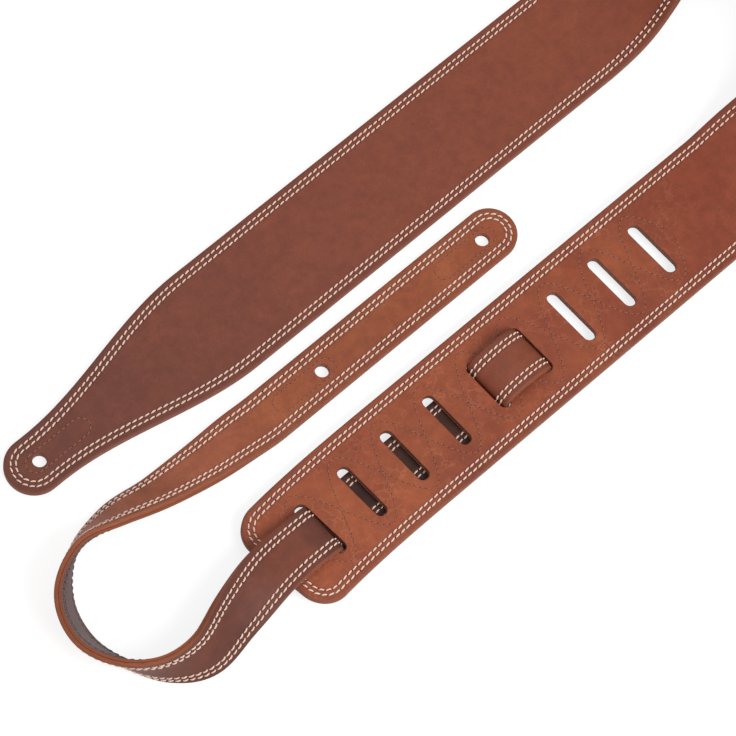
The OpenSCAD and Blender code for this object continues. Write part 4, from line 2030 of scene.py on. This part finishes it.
@dataclass
class WideStrap:
    """The wide strap: tapered end, upper run, turn on edge, and slotted end."""

    layout: Layout
    finishes: Finishes
    sewing: SewingTree
    laid: Route
    row_inset: float = 3.5
    corner_r: float = 15.0
    tip_r: float = 15.0
    tip_setback: float = 3.5
    taper_start: float = 3.0
    taper_end: float = 116.0
    slot_count: int = 9
    slot_w: float = 6.6
    slot_length: float = 32.5
    snug: float = 3.0
    braid_reach: float = 22.0
    bend_before: float = 46.0
    bend_after: float = 14.0

    UPPER_ROWS = 100
    TURN_ROWS = 190
    LADDER_ROWS = 130
    TAPER_STEPS = 60
    TIP_STEPS = 24
    CORNER_STEPS = 16
    WAVE_STEPS = 24
    WAVE_TRIM = 2
    SWAY_REACH = 95.0
    SWAY = -4.0
    # Each row: X past the straight runs, shares of the way across and down, bank in degrees.
    TURN = (
        (-20, 0, 0, 0), (0, 0, 0, 0), (20, 0, 0, 5), (40, -0.01, 0.05, 17),
        (61, -0.015, 0.2, 37), (82, 0.02, 0.45, 60), (101, 0.12, 0.7, 80), (114, 0.28, 0.9, 91),
        (119, 0.5, 1, 94), (114, 0.72, 1, 91), (101, 0.88, 1, 80), (82, 0.98, 1, 60),
        (61, 1.015, 1, 37), (40, 1.01, 1, 17), (20, 1, 1, 5), (0, 1, 1, 0), (-20, 1, 1, 0),
    )

    @staticmethod
    def route(layout: Layout) -> Route:
        """Lays the whole strap, from its slotted end round to its tapered end.

        Args:
            layout: The frame's layout.

        Returns:
            Its route.
        """
        half_t = layout.strap_t / 2
        start, end, y, z = layout.ladder_end, layout.run_end, layout.lower_y, layout.lower_z
        stations = np.array(
            [
                (end + x, y * (1 - across), z * (1 - drop), bank)
                for x, across, drop, bank in WideStrap.TURN
            ],
            float,
        )
        low_run = flat_run((start, y, z + half_t), 1, end - start)
        low_run = swayed(low_run, WideStrap.SWAY_REACH, WideStrap.SWAY)
        turn = banked_turn(stations, layout.strap_w, layout.strap_t)
        high_run = flat_run((end, 0.0, half_t), -1, end - layout.tip_x)
        return Route.through(low_run, turn, high_run)

    def strip(self) -> Strip:
        """The strap as a strip that cuts and sews."""
        return Strip(
            lay=self.laid.lay,
            thickness=self.layout.strap_t,
            back_t=self.layout.strap_back_t,
            row_inset=self.row_inset,
            leather=self.finishes.strap,
            finishes=self.finishes,
            sewing=self.sewing,
            slot="strap_leather",
        )

    def slot_places(self) -> list[float]:
        """Where the slots lie, along X."""
        first = self.layout.first_slot
        return [first + k * self.layout.slot_pitch for k in range(self.slot_count)]

    def ladder_cut(self) -> Cut:
        """The slotted end's pattern. It counts along from the end of the strap."""
        layout = self.layout
        half = layout.strap_w / 2
        r = self.corner_r
        far_corner = arc((r, half - r), (r, r), 90, 180, self.CORNER_STEPS)
        near_corner = arc((r, r - half), (r, r), 180, 270, self.CORNER_STEPS)
        end = layout.ladder_end
        straight = self.slot_length - self.slot_w
        bridge = (Tail.RISING_SLOT - 1, Tail.RISING_SLOT)
        holes = tuple(
            Hole(x - end, self.slot_w / 2, straight - (self.snug if k in bridge else 0.0))
            for k, x in enumerate(self.slot_places())
        )
        stations = np.linspace(r, layout.run_end - end, self.LADDER_ROWS)
        nose = np.concatenate([far_corner, near_corner])
        holes_to = self.slot_places()[-1] - end + self.slot_w
        return Cut(half, stations, nose, holes, holes_to=float(holes_to))

    def taper_cut(self) -> Cut:
        """The tapered end and the upper run. It counts along from the button hole."""
        layout = self.layout
        half = layout.strap_w / 2
        share = np.linspace(0, 1, self.TAPER_STEPS)
        side = np.column_stack(
            [
                self.taper_start + (self.taper_end - self.taper_start) * share,
                self.tip_r + eased(half - self.tip_r, share),
            ]
        )
        tip = arc((-self.tip_setback, 0), (self.tip_r, self.tip_r), 90, 180, self.TIP_STEPS)
        upper = np.concatenate([side[::-1], tip])
        nose = np.concatenate([upper, upper[-2::-1] * [1, -1]])
        stations = np.linspace(self.taper_end, layout.run_end, self.UPPER_ROWS)
        hole = Hole.button(layout.taper_hole, layout.hole_r)
        return Cut(half, stations, nose, (hole,), holes_to=self.taper_end)

    def build(self) -> None:
        """Cuts, lays and sews the strap."""
        layout, strip = self.layout, self.strip()
        turn_start, turn_end = self.laid.turn_start, self.laid.turn_end
        bend = layout.joints["taper_end_lift"]
        hinge = Hinge("taper_end", "strap", bend - self.bend_before, bend + self.bend_after)
        back = Placing(turn_end + layout.run_end, runs_back=True)
        upper = Stretch("upper_strap", self.taper_cut(), hinge, ("taper", "upper"), back)
        turn_cut = Cut(layout.strap_w / 2, np.linspace(0, turn_end - turn_start, self.TURN_ROWS))
        turn = Stretch("turned_strap", turn_cut, "strap", ("turn",), Placing(turn_start))
        slotted = Stretch("slotted_strap", self.ladder_cut(), "strap", ("ladder",))
        strip.make(upper, seed=3)
        strip.patch("taper_patch", upper, "taper", seed=5)
        strip.make(turn, seed=7)
        strip.make(slotted, seed=11)
        waves = self.braid_paths()
        strip.sew_brown("slot_thread", waves, slotted, ["ladder_slot_stitches"], seed=13)

    def braid_paths(self) -> list[np.ndarray]:
        """The two waves of brown thread that cross between the slots and pass round their ends."""
        pitch = self.layout.slot_pitch
        start = self.layout.first_slot - pitch / 2 - self.layout.ladder_end
        share = np.linspace(0, self.slot_count, self.WAVE_STEPS * self.slot_count)
        along = start + pitch * share
        kept = slice(self.WAVE_TRIM, -self.WAVE_TRIM)
        return [
            np.column_stack([along, side * self.braid_reach * np.sin(math.pi * share)])[kept]
            for side in (-1, 1)
        ]


# ---- the tail --------------------------------------------------------------------------------


@dataclass
class Tail:
    """The narrow tail: button-hole end, free run, loop, and the part threaded through slots."""

    layout: Layout
    finishes: Finishes
    sewing: SewingTree
    laid: Route
    row_inset: float = 3.3
    tip_split: float = 160.0
    tip_spacing: float = 1.2
    hole_field: float = 8.0
    bend_before: float = 12.0
    bend_after: float = 38.0

    TIP_ROWS = 50
    FREE_ROWS = 26
    LOOP_ROWS = 170
    DIVE_ROWS = 10
    THREADED_SPACING = 0.8
    NOSE_STEPS = 40
    ARCH_STEPS = 60
    # Each row: X past the dive, shares of the way across and up, bank in degrees.
    LOOP = (
        (44, -0.015, 0, 0), (26, 0, 0, 0), (8, -0.01, 0, 7), (-15, -0.015, 0, 21),
        (-43, -0.05, 0, 38), (-68, -0.12, 0, 51), (-94, -0.1, 0, 80), (-115, 0.15, 0, 107),
        (-122, 0.5, 0, 117), (-115, 0.84, 0, 109), (-101, 1.08, 0, 86), (-81.5, 1.18, 0.1, 55),
        (-58, 1.1, 0.5, 36), (-34, 1.025, 1, 14), (-16, 1, 1.03, 2), (0, 1, 1, 0), (16, 1, 1, 0),
    )
    BEND_R = 4.0
    DRIFT = 1.2
    LEAN = -1.0
    ARCH_RISE = 6.2
    ARCH_FROM = 7.4
    RISING_SLOT = 5

    @staticmethod
    def weave(layout: Layout) -> np.ndarray:
        """Side view of the threaded tail's middle, from over the strap's end to its hidden end.

        Args:
            layout: The frame's layout.

        Returns:
            Rows of x and z.
        """
        r = Tail.BEND_R
        over, under = layout.over_z, layout.tail_t / 2
        first = layout.first_slot
        rise = first + (Tail.RISING_SLOT - 1) * layout.slot_pitch
        fall = rise + layout.slot_pitch
        middle = (rise + fall) / 2
        half = layout.slot_pitch / 2
        return np.concatenate(
            [
                [(layout.dive_x, over)],
                arc((first - r, over - r), (r, r), 90, 0),
                arc((first + r, under + r), (r, r), 180, 270),
                arc((rise - r, under + r), (r, r), -90, 0),
                arc((middle, Tail.ARCH_FROM), (half, Tail.ARCH_RISE), 180, 0, Tail.ARCH_STEPS),
                arc((fall + r, under + r), (r, r), 180, 270),
                [(layout.threaded_end, under)],
            ]
        )

    @staticmethod
    def route(layout: Layout) -> Route:
        """Lays the whole tail, from its tip round to its hidden end.

        Args:
            layout: The frame's layout.

        Returns:
            Its route, whose turned part is the loop.
        """
        half_t = layout.tail_t / 2
        reach = layout.threaded_y + Tail.LEAN - layout.tail_y
        lifted = layout.over_z - half_t
        stations = np.array(
            [
                (layout.dive_x + x, layout.tail_y + reach * across, lifted * lift, bank)
                for x, across, lift, bank in Tail.LOOP
            ],
            float,
        )
        free = flat_run(
            (layout.tail_end, layout.tail_y, half_t), -1, layout.tail_end - layout.loop_x
        )
        loop = banked_turn(stations, layout.tail_w, layout.tail_t)
        first, pitch = layout.first_slot, layout.slot_pitch
        rise = first + (Tail.RISING_SLOT - 1) * pitch
        drifts = (
            (-Tail.LEAN, first + Tail.BEND_R, first + pitch),
            (Tail.DRIFT, rise - pitch, rise - Tail.BEND_R),
        )
        threaded = woven_run(Tail.weave(layout), layout.threaded_y + Tail.LEAN, drifts)
        return Route.through(free, loop, threaded)

    def strip(self) -> Strip:
        """The tail as a strip that cuts and sews."""
        return Strip(
            lay=self.laid.lay,
            thickness=self.layout.tail_t,
            back_t=self.layout.tail_back_t,
            row_inset=self.row_inset,
            leather=self.finishes.tail,
            finishes=self.finishes,
            sewing=self.sewing,
            slot="tail_leather",
        )

    def hinge(self, first: str, second: str, joint: str) -> Hinge:
        """The stretch of leather that crosses a joint."""
        at = self.layout.joints[joint]
        return Hinge(first, second, at - self.bend_before, at + self.bend_after)

    def tip_cut(self, split: float) -> Cut:
        """The tail's round end.

        Args:
            split: Where along the lay the next piece starts.

        Returns:
            The flat pattern.
        """
        layout = self.layout
        half = layout.tail_w / 2
        hole = Hole.button(layout.tail_end - layout.last_hole, layout.hole_r)
        return Cut(
            half,
            np.linspace(half, split, self.TIP_ROWS),
            arc((half, 0), (half, half), 90, 270, self.NOSE_STEPS),
            (hole,),
            holes_to=hole.along + self.hole_field,
            nose_step=self.tip_spacing,
        )

    def loop_cut(self, split: float, dive_end: float) -> Cut:
        """The rest of the free run and the loop, as far as the middle of the first slot.

        Args:
            split: Where along the lay it starts.
            dive_end: Where the tail is halfway down through the slot.

        Returns:
            The flat pattern.
        """
        layout, laid = self.layout, self.laid
        hole = Hole.button(layout.tail_end - layout.middle_hole, layout.hole_r)
        stations = [
            np.linspace(split, laid.turn_start, self.FREE_ROWS),
            np.linspace(laid.turn_start, laid.turn_end, self.LOOP_ROWS)[1:],
            np.linspace(laid.turn_end, dive_end, self.DIVE_ROWS)[1:],
        ]
        return Cut(
            layout.tail_w / 2,
            np.concatenate(stations),
            holes=(hole,),
            holes_from=hole.along - self.hole_field,
            holes_to=hole.along + self.hole_field,
        )

    def build(self) -> None:
        """Cuts, lays and sews the tail."""
        strip = self.strip()
        split = self.layout.tail_end - self.tip_split
        dive_end = self.laid.turn_end + math.pi / 2 * self.BEND_R
        loop_cut = self.loop_cut(split, dive_end)
        threaded_rows = np.arange(dive_end, self.laid.lay.length, self.THREADED_SPACING)
        threaded_cut = Cut(self.layout.tail_w / 2, threaded_rows)
        tip_hinge = self.hinge("tail_run", "tail_tip", "tail_tip_lift")
        run_hinge = self.hinge("strap", "tail_run", "tail_run_lift")
        tip = Stretch("tail_end", self.tip_cut(split), tip_hinge, ("tip",))
        loop = Stretch("tail_loop", loop_cut, run_hinge, ("tail", "loop"))
        threaded = Stretch("threaded_tail", threaded_cut, "strap", ("threaded_tail",))
        strip.make(tip, seed=17)
        strip.make(loop, seed=19)
        strip.make(threaded, seed=23)
        strip.patch("tail_end_patch", tip, "tip", seed=29)
        strip.patch("tail_run_patch", loop, "tail", seed=31)


# ---- studio ----------------------------------------------------------------------------------


@dataclass(frozen=True)
class Lamp:
    """A soft square lamp: where it hangs, its power in watts, and its side in metres."""

    name: str
    bearing_deg: float
    height_deg: float
    power: float
    size: float


@dataclass
class Studio:
    """A white table under soft light, and the camera."""

    target: tuple[float, float, float] = (0.1573, -0.0680, 0.0)
    bearing_deg: float = -146.7
    tilt_deg: float = 24.4
    up_bearing_deg: float = 46.8
    distance: float = 2.0
    lens: float = 196.66
    sensor: float = 36.0
    farthest: float = 50.0
    table_size: float = 8.0
    table_z: float = -0.0004
    world_strength: float = 0.45
    lamp_distance: float = 1.6
    key: Lamp = Lamp("key", bearing_deg=-88.0, height_deg=46.0, power=15.0, size=0.9)
    fill: Lamp = Lamp("fill", bearing_deg=60.0, height_deg=65.0, power=4.0, size=1.6)

    WHITE = (1.0, 1.0, 1.0, 1.0)
    TABLE_LIT = (0.8, 0.8, 0.8, 1.0)
    TABLE_SHOWN = (0.42, 0.42, 0.42, 1.0)
    TABLE_GLOW = (0.76, 0.76, 0.76, 1.0)

    @staticmethod
    def _toward(bearing_deg: float, height_deg: float) -> Vector:
        """Direction from the target to a camera or a lamp.

        Args:
            bearing_deg: Its bearing in the table's plane.
            height_deg: Its height above the table, as an angle.

        Returns:
            The direction, one long.
        """
        bearing, height = math.radians(bearing_deg), math.radians(height_deg)
        level = math.cos(height)
        return Vector((level * math.cos(bearing), level * math.sin(bearing), math.sin(height)))

    def camera(self) -> None:
        """Sets up the camera."""
        toward = self._toward(self.bearing_deg, 90 - self.tilt_deg)
        up = math.radians(self.up_bearing_deg)
        right = Vector((math.cos(up), math.sin(up), 0)).cross(toward).normalized()
        above = toward.cross(right)
        data = bpy.data.cameras.new("camera")
        data.lens = self.lens
        data.sensor_width = self.sensor
        data.clip_end = self.farthest
        made = bpy.data.objects.new("camera", data)
        bpy.context.scene.collection.objects.link(made)
        turn = Matrix((right, above, toward)).transposed().to_4x4()
        made.matrix_world = Matrix.Translation(Vector(self.target) + toward * self.distance) @ turn
        bpy.context.scene.camera = made

    def table(self) -> None:
        """Makes the white table top."""
        mesh = bpy.data.meshes.new("table")
        half = self.table_size / 2
        corners = ((-half, -half), (half, -half), (half, half), (-half, half))
        mesh.from_pydata([(x, y, self.table_z) for x, y in corners], [], [(0, 1, 2, 3)])
        made = bpy.data.objects.new("table", mesh)
        bpy.context.scene.collection.objects.link(made)
        mesh.materials.append(self._table_material())

    def _table_material(self) -> bpy.types.Material:
        """White paper: it shows white to the camera, under the soft shadow of what lies on it."""
        material = bpy.data.materials.new("white_table")
        material.use_nodes = True
        tree = material.node_tree
        tree.nodes.clear()
        path = place_node(tree, "ShaderNodeLightPath").outputs
        plain = place_node(tree, "ShaderNodeBsdfDiffuse", {"Color": self.TABLE_LIT})
        shown = place_node(tree, "ShaderNodeBsdfDiffuse", {"Color": self.TABLE_SHOWN})
        glow = place_node(tree, "ShaderNodeEmission", {"Color": self.TABLE_GLOW})
        both = place_node(tree, "ShaderNodeAddShader", {0: shown.outputs[0], 1: glow.outputs[0]})
        seen = path["Is Camera Ray"]
        for ray in ("Is Glossy Ray", "Is Transmission Ray"):
            seen = place_node(
                tree, "ShaderNodeMath", {0: seen, 1: path[ray]}, operation="MAXIMUM"
            ).outputs[0]
        pick = place_node(
            tree, "ShaderNodeMixShader", {0: seen, 1: plain.outputs[0], 2: both.outputs[0]}
        )
        place_node(tree, "ShaderNodeOutputMaterial", {"Surface": pick.outputs[0]})
        return material

    def world(self) -> None:
        """Makes the even light of the room, which shows white to the camera."""
        world = bpy.data.worlds.new("studio")
        bpy.context.scene.world = world
        world.use_nodes = True
        tree = world.node_tree
        tree.nodes.clear()
        path = place_node(tree, "ShaderNodeLightPath").outputs
        level = place_node(
            tree,
            "ShaderNodeMapRange",
            {"Value": path["Is Camera Ray"], "To Min": self.world_strength, "To Max": 1.0},
        )
        background = place_node(
            tree,
            "ShaderNodeBackground",
            {"Color": self.WHITE, "Strength": level.outputs["Result"]},
        )
        place_node(tree, "ShaderNodeOutputWorld", {"Surface": background.outputs[0]})

    def hang(self, lamp: Lamp) -> None:
        """Hangs a soft lamp that looks at the strap.

        Args:
            lamp: The lamp.
        """
        data = bpy.data.lights.new(lamp.name, "AREA")
        data.energy = lamp.power
        data.shape = "SQUARE"
        data.size = lamp.size
        made = bpy.data.objects.new(lamp.name, data)
        bpy.context.scene.collection.objects.link(made)
        toward = self._toward(lamp.bearing_deg, lamp.height_deg)
        made.location = Vector(self.target) + toward * self.lamp_distance
        made.rotation_euler = toward.to_track_quat("Z", "Y").to_euler()

    def build(self) -> None:
        """Sets up camera, table and light."""
        self.camera()
        self.table()
        self.world()
        self.hang(self.key)
        self.hang(self.fill)
        bpy.context.scene.view_settings.view_transform = "Standard"


def main() -> None:
    """Builds the strap piece by piece."""
    logging.basicConfig(level=logging.INFO, format="%(message)s")
    Studio().build()
    layout = Layout.read(frame)
    strap_route, tail_route = WideStrap.route(layout), Tail.route(layout)
    finishes = Finishes.made(strap_route.lay.length, tail_route.lay.length)
    sewing = SewingTree()
    WideStrap(layout, finishes, sewing, strap_route).build()
    Tail(layout, finishes, sewing, tail_route).build()


if __name__ == "__main__":
    main()
